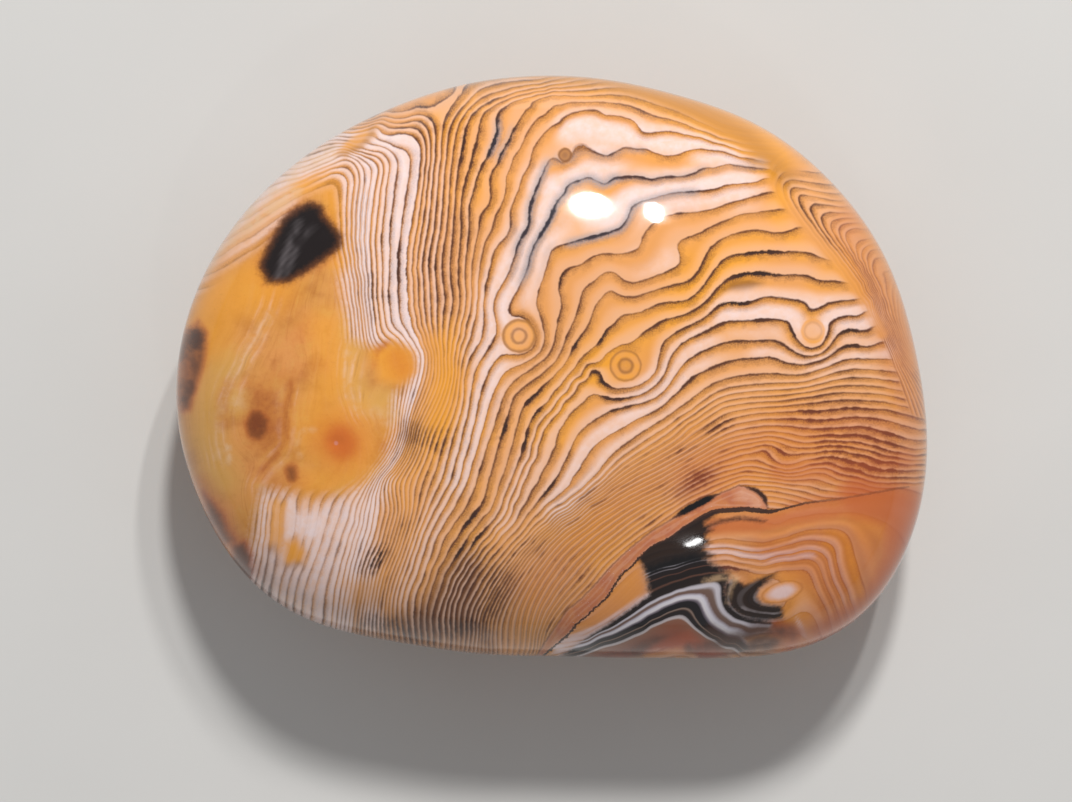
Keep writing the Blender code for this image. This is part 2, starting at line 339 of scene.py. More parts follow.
# Guide lines of the faint swirls in the honey stone
HONEY_GUIDES: tuple[Numbers, ...] = (
    (0, 196, 250, 215, 300, 205, 340, 200, 380, 200, 420, 205, 460, 212, 490),
    (2, 290, 215, 275, 245, 262, 275, 255, 305, 243, 335, 230, 362, 219, 388, 213, 415, 213, 445, 219, 472,
     228, 495),
    (3, 298, 222, 287, 245, 275, 272, 266, 305, 252, 335, 238, 362, 227, 388, 220, 408, 219, 432, 224, 458,
     236, 482),
    (4, 306, 226, 292, 250, 283, 275, 274, 305, 262, 332, 247, 358, 235, 385, 228, 408, 228, 430, 235, 452,
     248, 470),
    (5, 300, 260, 292, 285, 284, 310, 274, 335, 262, 360, 252, 385, 244, 402, 241, 424, 248, 444, 262, 452,
     274, 444),
    (6, 300, 365, 293, 390, 288, 412, 285, 435, 279, 452, 266, 466, 255, 485),
    (7, 312, 300, 310, 340, 306, 375, 302, 400, 301, 425, 299, 450, 292, 470, 275, 490),
    (8, 338, 200, 335, 240, 330, 290, 325, 330, 320, 370, 316, 400, 312, 420),
    (9, 344, 260, 343, 300, 338, 330, 333, 360, 332, 385, 338, 408),
    (10, 351, 280, 351, 310, 346, 338, 341, 365, 341, 390, 348, 412, 362, 440),
    (11, 357, 310, 355, 335, 348, 360, 347, 385, 353, 410, 366, 436),
    (12, 364, 345, 358, 365, 353, 385, 358, 408, 368, 428),
    (13, 372, 350, 367, 385, 363, 410, 370, 430),
    (14, 390, 385, 380, 405, 382, 425),
)

# The lower bands. Their upper border is the crack on the left and the seam on the right
LOWER_ZONE: Line = points(
    530, 668, 550, 650, 556, 645, 567, 636, 577, 624, 590, 613, 602, 602, 608, 596, 613, 588, 621, 575,
    631, 567, 641, 556, 652, 546, 664, 541, 673, 536, 684, 527, 693, 522, 703, 516, 716, 511, 745, 509,
    770, 512, 783, 509, 805, 503, 845, 498, 900, 488, 960, 480, 980, 720, 520, 720,
)

# The dark upper rim of the vein, from the lower edge up to the seam
VEIN_LINE: Line = points(
    540, 650, 553, 630, 567, 610, 582, 598, 597, 582, 612, 565, 630, 548, 650, 532, 670, 520, 690, 508,
    716, 495, 740, 485, 756, 490, 764, 497, 768, 508,
)

# The part of the border that shows as the crack and the seam
SEAM_LINE: Line = LOWER_ZONE[1:25]

# The vein: its rim, and back along the crack
VEIN_ZONE: Line = VEIN_LINE + ((768, 512),) + LOWER_ZONE[18::-1]

# Where the vein's rim and the seam are thick
THICK_RIM: Line = points(670, 521, 684, 512, 696, 505, 708, 499, 720, 493)
THICK_HOOK: Line = points(744, 484, 756, 490, 764, 497, 768, 508)
THICK_SEAM: Line = points(684, 527, 703, 516, 716, 511, 745, 509, 770, 512, 785, 508)

# Where the crescents begin, right of the main bands' round ends
CRESCENT_ZONE: Line = points(
    772, 160, 771, 178, 776, 192, 787, 209, 803, 226, 829, 257, 847, 280, 862, 299, 873, 318, 881, 335,
    889, 352, 897, 372, 903, 392, 912, 414, 985, 440, 980, 140, 800, 120,
)

# The clear honey stone on the left
HONEY_ZONE: Line = points(
    150, 300, 196, 290, 214, 272, 246, 250, 272, 228, 290, 208, 304, 194, 322, 184, 335, 178, 342, 184,
    342, 210, 342, 250, 345, 290, 352, 335, 372, 342, 390, 338, 410, 344, 420, 362, 412, 384, 398, 400,
    396, 430, 388, 462, 368, 484, 344, 498, 316, 502, 290, 496, 266, 494, 261, 515, 257, 540, 250, 562,
    246, 584, 236, 606, 190, 600, 150, 450,
)


@dataclass(frozen=True)
class Stroke:
    """A soft stroke that tints the bands under it.

    Attributes:
        tint: What it does to the bands.
        path: The points that it runs through, in pixels of the photograph.
        reach: Its half width, in pixels.
        strength: How strong it is, from 0 to 1.
        soft: How much of the half width its edge fades over, from 0 to 1.
        ink_end: How strong an inked stroke still is at its very ends.
    """

    tint: Tint
    path: Line
    reach: float
    strength: float
    soft: float
    ink_end: float = 0.15

    def strengths(self, pixels: np.ndarray) -> np.ndarray:
        """Return how strong the stroke is at each pixel."""
        distance, along = stroke_reading(pixels, self.path)
        fade = smoothstep(1.0 + self.soft / 2, 1.0 - self.soft, distance / self.reach)
        if self.tint is Tint.INK:
            taper = smoothstep(0.0, 0.4, along) * smoothstep(1.0, 0.6, along)
            fade = fade * (self.ink_end + (1.0 - self.ink_end) * taper)
        return self.strength * fade


@dataclass(frozen=True)
class Patch:
    """A soft patch that tints the bands under it.

    Attributes:
        tint: What it does to the bands.
        corners: Its corners, in pixels of the photograph.
        reach: How far it fades inside and outside its border, in pixels.
        strength: How strong it is, from 0 to 1.
    """

    tint: Tint
    corners: Line
    reach: float
    strength: float

    def strengths(self, pixels: np.ndarray) -> np.ndarray:
        """Return how strong the patch is at each pixel."""
        depth = zone_depth(pixels, self.corners)
        return self.strength * smoothstep(-self.reach, self.reach, depth)


# Strokes, tint by tint: each row has its half width, strength and softness, then X and Y of its points
STROKES: dict[Tint, tuple[Numbers, ...]] = {
    Tint.PALE: (
        (4, 0.8, 1.0, 299, 222, 288, 248, 277, 277),
        (3.5, 0.6, 1.0, 313, 226, 296, 249, 285, 276),
        (22, 0.75, 0.9, 226, 366, 212, 394, 206, 440, 222, 480),
        (16, 0.7, 0.9, 352, 320, 350, 370, 362, 400, 385, 400),
        (14, 0.8, 0.9, 232, 398, 242, 404),
        (18, 1.0, 0.9, 206, 256, 232, 226, 268, 192, 310, 164, 340, 150),
        (14, 0.8, 0.9, 380, 480, 366, 520, 366, 570, 372, 620),
        (18, 0.8, 0.9, 570, 128, 600, 128, 640, 136, 690, 146, 740, 156),
        (24, 0.8, 0.9, 545, 185, 590, 205, 612, 215, 640, 195, 740, 186),
        (30, 0.75, 0.9, 600, 160, 545, 215, 505, 290, 490, 350),
        (20, 0.7, 0.9, 500, 345, 482, 400, 455, 480),
        (16, 0.42, 0.9, 455, 470, 425, 540, 400, 600),
        (18, 0.3, 0.9, 424, 130, 432, 200, 426, 260, 436, 320),
        (16, 0.35, 0.9, 640, 262, 672, 262),
        (26, 0.55, 0.9, 700, 345, 660, 390, 600, 440, 560, 500),
        (24, 0.7, 0.9, 730, 310, 790, 315, 860, 320),
        (18, 0.3, 0.9, 570, 390, 540, 440, 505, 520),
        (14, 0.4, 0.9, 760, 350, 820, 362, 885, 350),
        (10, 1.0, 0.5, 560, 648, 600, 632, 626, 616, 650, 600),
        (5, 1.0, 0.7, 722, 604, 740, 620, 770, 624),
        (7, 0.8, 1.0, 708, 550, 740, 553, 765, 557, 796, 556, 812, 553),
        (8, 0.2, 1.0, 800, 549, 824, 547, 831, 566, 842, 596),
        (8, 0.15, 1.0, 796, 538, 816, 535, 836, 537, 843, 560, 856, 600),
        (7, 1.0, 1.0, 742, 493, 752, 497, 758, 505),
        (4, 0.8, 0.8, 797, 618, 804, 636),
    ),
    Tint.CREAM: (
        (5, 0.42, 1.0, 300, 456, 297, 446, 299, 436, 306, 429, 314, 430),
        (9, 0.4, 1.0, 270, 314, 258, 334, 246, 352, 234, 376, 224, 398, 219, 420, 218, 456),
        (5, 0.72, 1.0, 228, 447, 228, 462),
        (8, 0.45, 1.0, 348, 352, 347, 374, 350, 396, 360, 412),
        (10, 0.45, 1.0, 376, 412, 388, 420, 398, 412),
        (14, 0.72, 1.0, 202, 268, 222, 236, 254, 204),
        (10, 0.66, 1.0, 226, 244, 262, 216, 296, 190),
        (12, 0.55, 1.0, 262, 200, 300, 170, 332, 152),
        (4.5, 0.62, 1.0, 704, 581, 722, 577, 737, 578),
        (4, 0.48, 1.0, 738, 578, 731, 588, 728, 602),
    ),
    Tint.BROWN: (
        (7, 0.4, 1.0, 290, 384, 287, 416, 285, 440, 274, 458, 260, 472),
        (10, 0.3, 1.0, 228, 384, 222, 402, 222, 424),
        (14, 0.2, 1.0, 276, 380, 300, 372, 322, 365),
        (9, 0.66, 1.0, 291, 470, 292, 477),
        (16, 0.24, 1.0, 258, 470, 285, 486, 300, 480),
        (5, 0.3, 1.0, 374, 366, 377, 352, 386, 343),
        (5, 0.55, 1.0, 340, 155, 350, 152, 362, 146, 371, 136, 372, 130),
        (14, 0.22, 1.0, 386, 446, 400, 436, 416, 430),
        (14, 0.4, 0.9, 480, 80, 540, 74, 590, 78, 650, 92, 700, 112, 745, 136, 788, 178),
        (12, 0.75, 1.0, 724, 642, 760, 630, 790, 632),
        (9, 0.7, 0.9, 690, 648, 720, 646),
        (12, 0.6, 1.0, 712, 630, 730, 641, 748, 650),
        (9, 0.42, 1.0, 684, 492, 698, 482, 712, 473),
        (9, 0.9, 1.0, 238, 560, 254, 578, 272, 600),
    ),
    Tint.BRICK: (
        (36, 0.62, 1.0, 339, 442, 341, 443),
        (25, 1.0, 1.0, 340, 441, 342, 444),
        (18, 0.42, 0.9, 398, 360, 402, 368),
        (26, 0.22, 0.9, 285, 300, 295, 340, 280, 370),
        (16, 0.42, 1.0, 200, 484, 214, 502, 228, 528, 238, 548, 250, 572),
        (30, 0.4, 0.9, 850, 225, 895, 320, 908, 400, 905, 480),
        (50, 0.46, 0.9, 700, 480, 790, 440, 880, 440),
        (34, 1.0, 0.9, 860, 498, 905, 510, 905, 560, 880, 610, 830, 640),
        (24, 0.6, 0.9, 780, 470, 860, 470, 905, 460),
        (40, 0.3, 0.9, 540, 590, 620, 510, 700, 450),
        (26, 0.65, 0.9, 800, 514, 860, 502, 900, 520, 890, 580, 850, 625, 790, 645),
        (8, 0.35, 0.9, 600, 590, 560, 635),
        (14, 0.75, 0.9, 712, 526, 760, 524, 800, 516, 850, 508),
        (14, 0.8, 0.9, 776, 628, 796, 634, 790, 650),
    ),
    Tint.AMBER: (
        (44, 1.0, 1.0, 330, 430, 345, 450),
        (24, 0.8, 0.9, 325, 330, 334, 375, 320, 410, 345, 470, 310, 485),
        (36, 1.0, 0.8, 204, 330, 216, 306, 238, 292, 266, 282),
        (14, 0.8, 0.9, 300, 190, 330, 182, 336, 215, 340, 260),
        (10, 0.7, 1.0, 279, 504, 277, 520, 276, 545),
        (12, 0.35, 0.9, 215, 262, 250, 226, 290, 192),
        (22, 0.5, 1.0, 390, 440, 410, 430, 440, 430),
        (20, 1.0, 0.6, 590, 78, 650, 92, 700, 112, 745, 136, 775, 165),
        (14, 0.7, 0.9, 785, 180, 776, 215, 800, 250),
        (26, 0.65, 1.0, 540, 430, 600, 360, 650, 330, 760, 245),
        (22, 0.5, 1.0, 470, 110, 445, 130),
        (20, 0.8, 1.0, 445, 330, 446, 372, 436, 420),
        (14, 0.7, 0.9, 480, 82, 540, 76, 590, 80),
        (12, 0.9, 0.9, 830, 540, 852, 560, 860, 600),
        (8, 0.5, 0.9, 760, 543, 812, 530),
    ),
    Tint.PLAIN: (
        (16, 0.5, 1.0, 360, 470, 352, 500, 350, 540),
        (24, 0.82, 0.9, 208, 262, 240, 232, 270, 206, 304, 182),
        (13, 0.45, 0.9, 290, 184, 320, 166, 344, 150),
        (7, 0.9, 0.7, 774, 150, 772, 178, 784, 202, 808, 229, 835, 261, 853, 284, 870, 309, 882, 334),
        (20, 1.0, 0.5, 540, 60, 600, 66, 650, 82, 700, 104, 745, 130, 790, 160),
        (18, 0.65, 1.0, 432, 345, 446, 372, 436, 420),
        (13, 0.85, 0.8, 848, 196, 880, 245, 904, 300, 916, 360),
        (12, 0.8, 0.9, 600, 618, 640, 586),
        (10, 0.6, 0.9, 730, 530, 790, 524, 850, 512),
        (14, 0.6, 0.9, 690, 636, 690, 650),
    ),
    Tint.INK: (
        # Darker, thicker lines along the lower rim: partly the stone's own lines, partly painted shade
        # where the surface turns under
        (13, 0.7, 0.8, 335, 620, 375, 624, 420, 634, 470, 640),
        (12, 0.75, 0.9, 430, 230, 432, 262, 436, 290),
        (7, 0.55, 0.9, 370, 250, 374, 300, 376, 335),
        (7, 0.6, 0.9, 398, 230, 399, 270, 399, 298),
        (8, 0.55, 0.9, 384, 285, 389, 310),
        (6, 1.0, 0.9, 466, 116, 464, 130, 462, 156, 458, 175),
        (8, 1.0, 0.8, 505, 106, 497, 125, 493, 145, 478, 176),
        (7, 0.75, 0.9, 527, 112, 508, 142, 496, 165, 488, 185),
        (6, 0.6, 0.9, 478, 128, 474, 152, 466, 180),
        (9, 0.7, 0.9, 545, 165, 531, 205, 522, 236, 508, 268),
        (9, 0.8, 0.9, 572, 180, 556, 203, 543, 230, 529, 262),
        (9, 0.8, 0.7, 437, 104, 436, 113, 436, 124),
        (8, 0.6, 0.9, 560, 246, 590, 238, 625, 225),
        (6, 0.5, 0.9, 700, 168, 640, 178, 600, 184),
        (7, 0.7, 0.9, 575, 272, 563, 276, 560, 292),
        (6, 0.85, 0.8, 722, 258, 745, 253, 765, 251, 800, 252),
        (7, 1.0, 0.8, 716, 288, 730, 278, 752, 273, 800, 276),
        (6, 1.0, 0.8, 708, 310, 722, 304, 744, 303, 764, 297),
        (5, 0.9, 0.8, 598, 350, 604, 336, 612, 326),
        (5, 0.9, 0.8, 570, 353, 576, 342, 582, 334),
        (6, 0.9, 0.8, 520, 413, 532, 397, 546, 383),
        (5, 1.0, 0.8, 508, 412, 505, 427, 500, 444),
        (6, 0.9, 0.8, 458, 536, 470, 520, 484, 502),
        (5, 0.9, 0.8, 450, 566, 461, 550, 470, 536),
        (5, 0.9, 0.8, 464, 557, 479, 536, 490, 524),
        (6, 1.0, 0.8, 588, 366, 594, 371, 600, 382, 614, 390),
        (6, 0.8, 0.9, 594, 394, 608, 398, 640, 396),
        (5, 0.7, 0.9, 600, 417, 617, 409, 640, 403),
        (5, 0.9, 0.9, 530, 424, 526, 440, 520, 458),
        (5, 0.8, 0.9, 560, 470, 548, 489, 537, 503),
        (5, 0.8, 0.9, 546, 405, 536, 414, 530, 424),
        (6, 0.9, 0.8, 834, 337, 850, 330, 866, 331),
        (5, 0.8, 0.8, 834, 352, 850, 346, 868, 347),
        (5, 0.8, 0.8, 800, 343, 792, 331, 788, 322),
        (6, 0.6, 0.9, 714, 326, 745, 320, 790, 322),
        (5, 0.4, 0.9, 700, 352, 730, 342, 780, 342),
        (7, 0.8, 0.9, 698, 438, 715, 428, 740, 417),
        (5, 0.6, 0.9, 672, 455, 688, 446),
        (5, 0.9, 0.8, 778, 421, 810, 422, 850, 420),
        (5, 0.8, 0.9, 836, 409, 866, 408),
        (5, 0.8, 0.9, 858, 419, 895, 427),
        (6, 1.0, 0.8, 846, 459, 870, 468, 900, 472),
        (6, 0.8, 0.9, 770, 446, 780, 451, 792, 455),
        (18, 0.45, 1.0, 424, 418, 422, 432, 414, 452),
        (12, 0.7, 1.0, 442, 420, 440, 436, 434, 458),
        (8, 1.0, 0.7, 386, 540, 376, 560, 364, 580),
        (6, 0.9, 0.7, 377, 545, 366, 562, 358, 580),
        (16, 0.8, 0.9, 412, 640, 440, 628, 470, 625, 500, 640),
        (8, 0.5, 0.9, 797, 192, 800, 206, 818, 232),
        (7, 0.45, 0.9, 812, 208, 820, 228, 836, 250),
        (9, 0.4, 0.9, 380, 148, 400, 133, 425, 112),
        (9, 0.8, 0.9, 784, 410, 820, 414, 846, 412),
        (20, 0.45, 0.9, 760, 405, 850, 405, 900, 425),
        (16, 1.0, 0.7, 596, 646, 645, 620, 685, 605, 708, 622, 745, 648),
        (8, 0.7, 0.8, 640, 606, 680, 594, 708, 596, 722, 616, 760, 628),
        (9, 0.6, 0.9, 700, 574, 724, 570, 756, 573),
        (12, 1.0, 0.8, 680, 490, 697, 480, 716, 470),
        (9, 0.7, 1.0, 240, 560, 256, 578, 276, 602),
    ),
    Tint.GREY: (
        (16, 1.0, 0.9, 612, 180, 575, 186, 556, 210, 538, 240, 524, 272),
        (13, 0.9, 0.9, 546, 170, 533, 204, 518, 246),
        (12, 0.5, 0.9, 600, 174, 660, 180, 700, 172),
        (12, 0.9, 0.9, 575, 242, 620, 230, 636, 206, 690, 194),
        (12, 0.8, 0.9, 502, 128, 496, 150),
        (8, 0.45, 0.9, 700, 178, 760, 164),
        (8, 0.5, 0.9, 560, 158, 600, 158, 640, 152),
        (14, 1.0, 0.9, 272, 306, 258, 336, 240, 370, 226, 392, 220, 420, 220, 456),
        (12, 1.0, 0.9, 288, 395, 287, 425, 276, 458, 256, 484),
        (13, 0.9, 1.0, 348, 356, 350, 372, 350, 390, 360, 412),
    ),
    Tint.BLACK: (
        (4, 0.62, 1.0, 704, 529, 722, 521, 740, 518, 764, 521),
    ),
}

# Patches, tint by tint: each row has its fade and strength, then X and Y of its corners
PATCHES: dict[Tint, tuple[Numbers, ...]] = {
    Tint.BLACK: (
        (11, 1.0, 298, 210, 310, 204, 320, 208, 322, 217, 328, 223, 339, 237, 338, 246, 324, 257, 305, 270,
         287, 280, 269, 280, 262, 266, 268, 251, 276, 236, 286, 219),
        (7, 0.4, 188, 328, 200, 330, 205, 340, 201, 350, 188, 352),
        (6, 1.0, 636, 556, 648, 540, 660, 533, 680, 518, 700, 506, 722, 505, 714, 517, 703, 523, 713, 530,
         704, 536, 712, 543, 702, 548, 716, 556, 698, 562, 668, 567, 650, 575, 644, 568),
        (5, 0.95, 724, 585, 733, 578, 746, 585, 762, 577, 780, 572, 768, 582, 759, 589, 757, 597, 762, 603,
         782, 606, 784, 619, 760, 622, 744, 618, 731, 609, 724, 600),
    ),
    Tint.BROWN: (
        (13, 0.4, 304, 200, 322, 206, 342, 238, 336, 258, 292, 284, 262, 286, 254, 266, 272, 230,
         288, 210),
        (8, 0.8, 198, 320, 207, 332, 206, 350, 203, 368, 197, 386, 190, 410, 182, 412, 176, 398, 178, 372,
         174, 350, 180, 334, 186, 330),
        (7, 1.0, 186, 378, 197, 374, 196, 390, 188, 406, 178, 404, 180, 388),
        (7, 1.0, 190, 327, 203, 331, 205, 344, 198, 353, 186, 352),
        (6, 0.7, 250, 410, 262, 409, 270, 419, 269, 433, 260, 442, 248, 438, 244, 424),
        (7, 0.9, 258, 411, 266, 414, 266, 420, 258, 420),
        (20, 0.42, 246, 380, 275, 386, 293, 404, 288, 446, 262, 458, 246, 446, 240, 400),
        (16, 0.22, 300, 300, 318, 322, 306, 350, 286, 340),
        (10, 0.8, 203, 492, 212, 500, 222, 512, 229, 530, 236, 541, 224, 548, 206, 520),
        (9, 0.95, 232, 546, 244, 542, 252, 556, 252, 576, 262, 592, 250, 596, 234, 572),
        (6, 0.85, 264, 548, 275, 545, 278, 562, 274, 588, 268, 604, 260, 592),
        (5, 0.95, 278, 560, 288, 566, 300, 562, 309, 568, 306, 580, 298, 582, 286, 574),
        (9, 0.26, 344, 586, 384, 580, 384, 612, 344, 614),
        (18, 1.0, 396, 616, 428, 600, 446, 570, 464, 548, 482, 560, 488, 590, 484, 640, 400, 648),
        (18, 0.5, 474, 560, 500, 566, 522, 590, 508, 622, 480, 640),
        # Painted shade: a darker brown strip along the lower rim, where the surface turns under
        (9, 0.55, 330, 628, 380, 618, 440, 616, 500, 630, 500, 660, 330, 650),
        (5, 0.18, 338, 154, 356, 136, 374, 127, 374, 138, 356, 151),
        (4, 0.75, 722, 290, 732, 282, 750, 279, 764, 284, 746, 292),
        (8, 0.8, 600, 656, 630, 645, 655, 635, 668, 636, 655, 646, 640, 658),
        # Painted shade and reflection: a dark brown patch on the lower right rim, where the rim turns
        # under
        (9, 0.85, 744, 642, 756, 634, 776, 634, 784, 642, 770, 652, 748, 656),
    ),
    Tint.BRICK: (
        (8, 0.45, 250, 412, 264, 412, 268, 430, 258, 440, 247, 432),
        # Painted shade: the lower right is made deeper red-brown, as if it were less lit than the upper
        # middle
        (40, 0.34, 560, 600, 640, 520, 720, 440, 800, 415, 900, 430, 930, 520, 890, 640, 560, 660),
        (30, 0.56, 740, 520, 850, 505, 910, 500, 900, 600, 840, 650, 780, 640, 800, 600, 740, 560),
        (12, 0.12, 412, 120, 470, 104, 484, 116, 470, 160, 462, 230, 456, 310, 436, 336, 416, 326,
         408, 250, 418, 190),
        (12, 1.0, 646, 652, 668, 640, 690, 630, 720, 652),
    ),
    Tint.CREAM: (
        (10, 0.52, 228, 388, 246, 388, 246, 408, 230, 412),
    ),
    Tint.PLAIN: (
        (6, 1.0, 370, 352, 392, 342, 412, 352, 416, 372, 400, 384, 380, 380),
        (14, 0.52, 262, 492, 330, 496, 352, 500, 344, 560, 330, 600, 300, 604, 262, 580),
        (7, 1.0, 271, 502, 285, 504, 283, 536, 300, 538, 308, 550, 306, 570, 284, 570, 270, 546),
        (9, 0.92, 288, 508, 326, 510, 330, 530, 318, 545, 290, 538),
        (12, 0.55, 344, 584, 380, 578, 378, 604, 346, 608),
        (4, 1.0, 334, 155, 346, 142, 360, 132, 376, 125, 377, 136, 360, 149, 345, 157),
        (6, 1.0, 552, 652, 600, 606, 640, 562, 650, 576, 648, 598, 622, 612, 590, 632, 560, 650),
        (7, 0.75, 716, 516, 790, 514, 880, 500, 905, 520, 890, 600, 866, 620, 868, 560, 850, 526, 800, 526,
         740, 534, 712, 532),
        (7, 0.7, 786, 612, 812, 614, 818, 640, 776, 652, 772, 634),
    ),
    Tint.AMBER: (
        (8, 1.0, 370, 352, 392, 342, 412, 352, 416, 372, 400, 384, 380, 380),
        (9, 1.0, 284, 541, 298, 540, 306, 552, 303, 566, 284, 564),
        (12, 0.45, 344, 580, 386, 574, 384, 606, 346, 610),
        (4, 0.8, 334, 155, 346, 142, 360, 132, 376, 125, 377, 136, 360, 149, 345, 157),
    ),
    Tint.INK: (
        (9, 0.22, 258, 556, 276, 556, 296, 572, 310, 596, 300, 622, 272, 612, 254, 588),
        (14, 0.45, 404, 602, 432, 606, 444, 576, 456, 548, 474, 536, 500, 556, 518, 580, 512, 612,
         484, 640, 404, 644),
        (10, 0.38, 412, 120, 470, 104, 500, 110, 492, 180, 470, 250, 462, 310, 440, 336, 416, 326,
         408, 250, 418, 190),
        (16, 0.36, 690, 250, 790, 236, 850, 285, 884, 345, 800, 375, 690, 370, 640, 330),
        (12, 0.88, 818, 426, 900, 430, 906, 480, 850, 478, 814, 464),
    ),
    Tint.PALE: (
        (9, 1.0, 288, 508, 326, 510, 330, 530, 318, 545, 290, 538),
    ),
    Tint.GREY: (
        (9, 1.0, 644, 568, 672, 558, 694, 553, 706, 559, 718, 567, 732, 574, 728, 582, 724, 592, 700, 600,
         650, 604, 648, 588),
        (5, 1.0, 648, 596, 690, 580, 726, 582, 724, 592, 730, 606, 746, 617, 772, 623, 768, 630, 742, 636,
         750, 650, 700, 662, 690, 644, 650, 650, 600, 668, 552, 662, 590, 636, 626, 612),
    ),
    Tint.FINE: (
        (4, 0.7, 722, 572, 760, 566, 790, 600, 780, 628, 730, 622),
        (8, 0.7, 740, 530, 800, 524, 850, 516, 880, 540, 876, 600, 840, 626, 812, 600, 800, 572, 740, 562),
        (16, 1.0, 560, 500, 640, 450, 700, 425, 730, 440, 700, 478, 650, 516, 600, 560, 560, 620, 520, 650,
         500, 620, 530, 560),
        (6, 0.8, 345, 250, 350, 200, 362, 180, 372, 200, 366, 260, 372, 330, 352, 330),
    ),
}


def all_marks() -> list[Stroke | Patch]:
    """Return every stroke and patch."""
    strokes = [Stroke(tint, points(*path), reach, strength, soft)
               for tint, rows in STROKES.items() for reach, strength, soft, *path in rows]
    patches = [Patch(tint, points(*corners), reach, strength)
               for tint, rows in PATCHES.items() for reach, strength, *corners in rows]
    return strokes + patches


@dataclass(frozen=True)
class Ring:
    """One ring of an eye.

    Attributes:
        radius: Its radius, in pixels of the photograph.
        width: Its half width, in pixels.
        strength: How dark it is, from 0 to 1.
    """

    radius: float
    width: float
    strength: float


@dataclass(frozen=True)
class Eye:
    """A small set of rings in the stone, or, with no rings and a white middle, a painted highlight: the
    glint of a lamp in a pit.

    Attributes:
        centre: Its middle, in pixels of the photograph.
        reach: The radius that it ends at, in pixels.
        rings: Its rings.
        stretch: How much longer it is than wide.
        turn: The angle of its long axis above +X, in degrees.
        strength: How much it hides the bands under it, from 0 to 1.
        pale: How white its middle is, from 0 to 1.
    """

    centre: Point
    reach: float
    rings: tuple[Ring, ...]
    stretch: float = 1.0
    turn: float = 0.0
    strength: float = 0.9
    pale: float = 0.0


EYES_AND_PIT_GLINTS: tuple[Eye, ...] = (
    Eye((519, 336), 17.0, (Ring(7.0, 1.3, 0.60), Ring(16.0, 1.5, 0.60)), pale=0.12),
    Eye((625.7, 365.7), 16.0, (Ring(6.7, 1.4, 0.62), Ring(3.0, 2.5, 0.18), Ring(15.2, 1.3, 0.52))),
    # The next two are painted highlights: white dots that stand for the lamp's glint in the pits at the
    # same places
    Eye((336, 443), 3.0, (), pale=1.0),
    Eye((323, 232), 2.4, (), pale=1.0),
    Eye((813, 331), 12.0, (Ring(8.5, 1.0, 0.25),), strength=0.7, pale=0.35),
    Eye((782, 592), 10.0, (Ring(10.0, 0.7, 0.4),), stretch=2.1, turn=17.0, pale=1.0),
    Eye((565, 155), 7.0, (Ring(0.0, 6.0, 0.72), Ring(6.0, 1.1, 0.7))),
)


@dataclass(frozen=True)
class Pit:
    """A small round hollow in the polish.

    Attributes:
        centre: Its middle, in pixels of the photograph.
        reach: Its radius, in metres.
        depth: Its depth, in metres.
    """

    centre: Point
    reach: float
    depth: float


PITS: tuple[Pit, ...] = (
    Pit((336, 443), 0.00045, 0.00012),
    Pit((323, 232), 0.00045, 0.00012),
    Pit((489, 641), 0.00060, 0.00015),
)


@dataclass(frozen=True)
class PhotoView:
    """How the photograph was taken: straight down, from above the pebble.

    Attributes:
        size: The picture's width and height, in pixels.
        middle: The pixel over the pebble's middle.
        scale: Pixels for each metre, at the height of the waist.
        height: The lens's height above the floor, in metres.
        waist: The height of the waist, in metres.
        sensor: The width of the camera's sensor, in millimetres.
    """

    size: tuple[int, int] = (1072, 802)
    middle: Point = (551.5, 367.0)
    scale: float = 12050.0
    height: float = 0.30
    waist: float = 0.0108
    sensor: float = 36.0

    @property
    def place(self) -> Vector:
        """Return the lens's place."""
        across = (self.size[0] / 2 - self.middle[0]) / self.scale
        along = (self.middle[1] - self.size[1] / 2) / self.scale
        return Vector((across, along, self.height))

    @property
    def focal(self) -> float:
        """Return the focal length that gives the scale, in millimetres."""
        return self.scale * (self.height - self.waist) * self.sensor / self.size[0]

    def pixels(self, points: np.ndarray) -> np.ndarray:
        """Project points into the photograph.

        Args:
            points: Rows of X, Y and Z, in metres.

        Returns:
            Rows of pixels, from the picture's upper left corner.
        """
        lens = np.array(self.place)
        shares = (points[:, :2] - lens[:2]) / (lens[2] - points[:, 2:3])
        spread = self.scale * (self.height - self.waist)
        half = np.array(self.size) / 2
        return half + shares * spread * np.array([1.0, -1.0])

    def ray(self, pixel: Point) -> Vector:
        """Return the direction from the lens through a pixel."""
        spread = self.scale * (self.height - self.waist)
        across = (pixel[0] - self.size[0] / 2) / spread
        along = (self.size[1] / 2 - pixel[1]) / spread
        return Vector((across, along, -1.0)).normalized()

    def make_camera(self) -> None:
        """Stand the camera over the pebble, looking straight down."""
        data = bpy.data.cameras.new("camera")
        data.sensor_width = self.sensor
        data.lens = self.focal
        data.clip_start = 0.01
        camera = bpy.data.objects.new("camera", data)
        camera.location = self.place
        bpy.context.scene.collection.objects.link(camera)
        bpy.context.scene.camera = camera


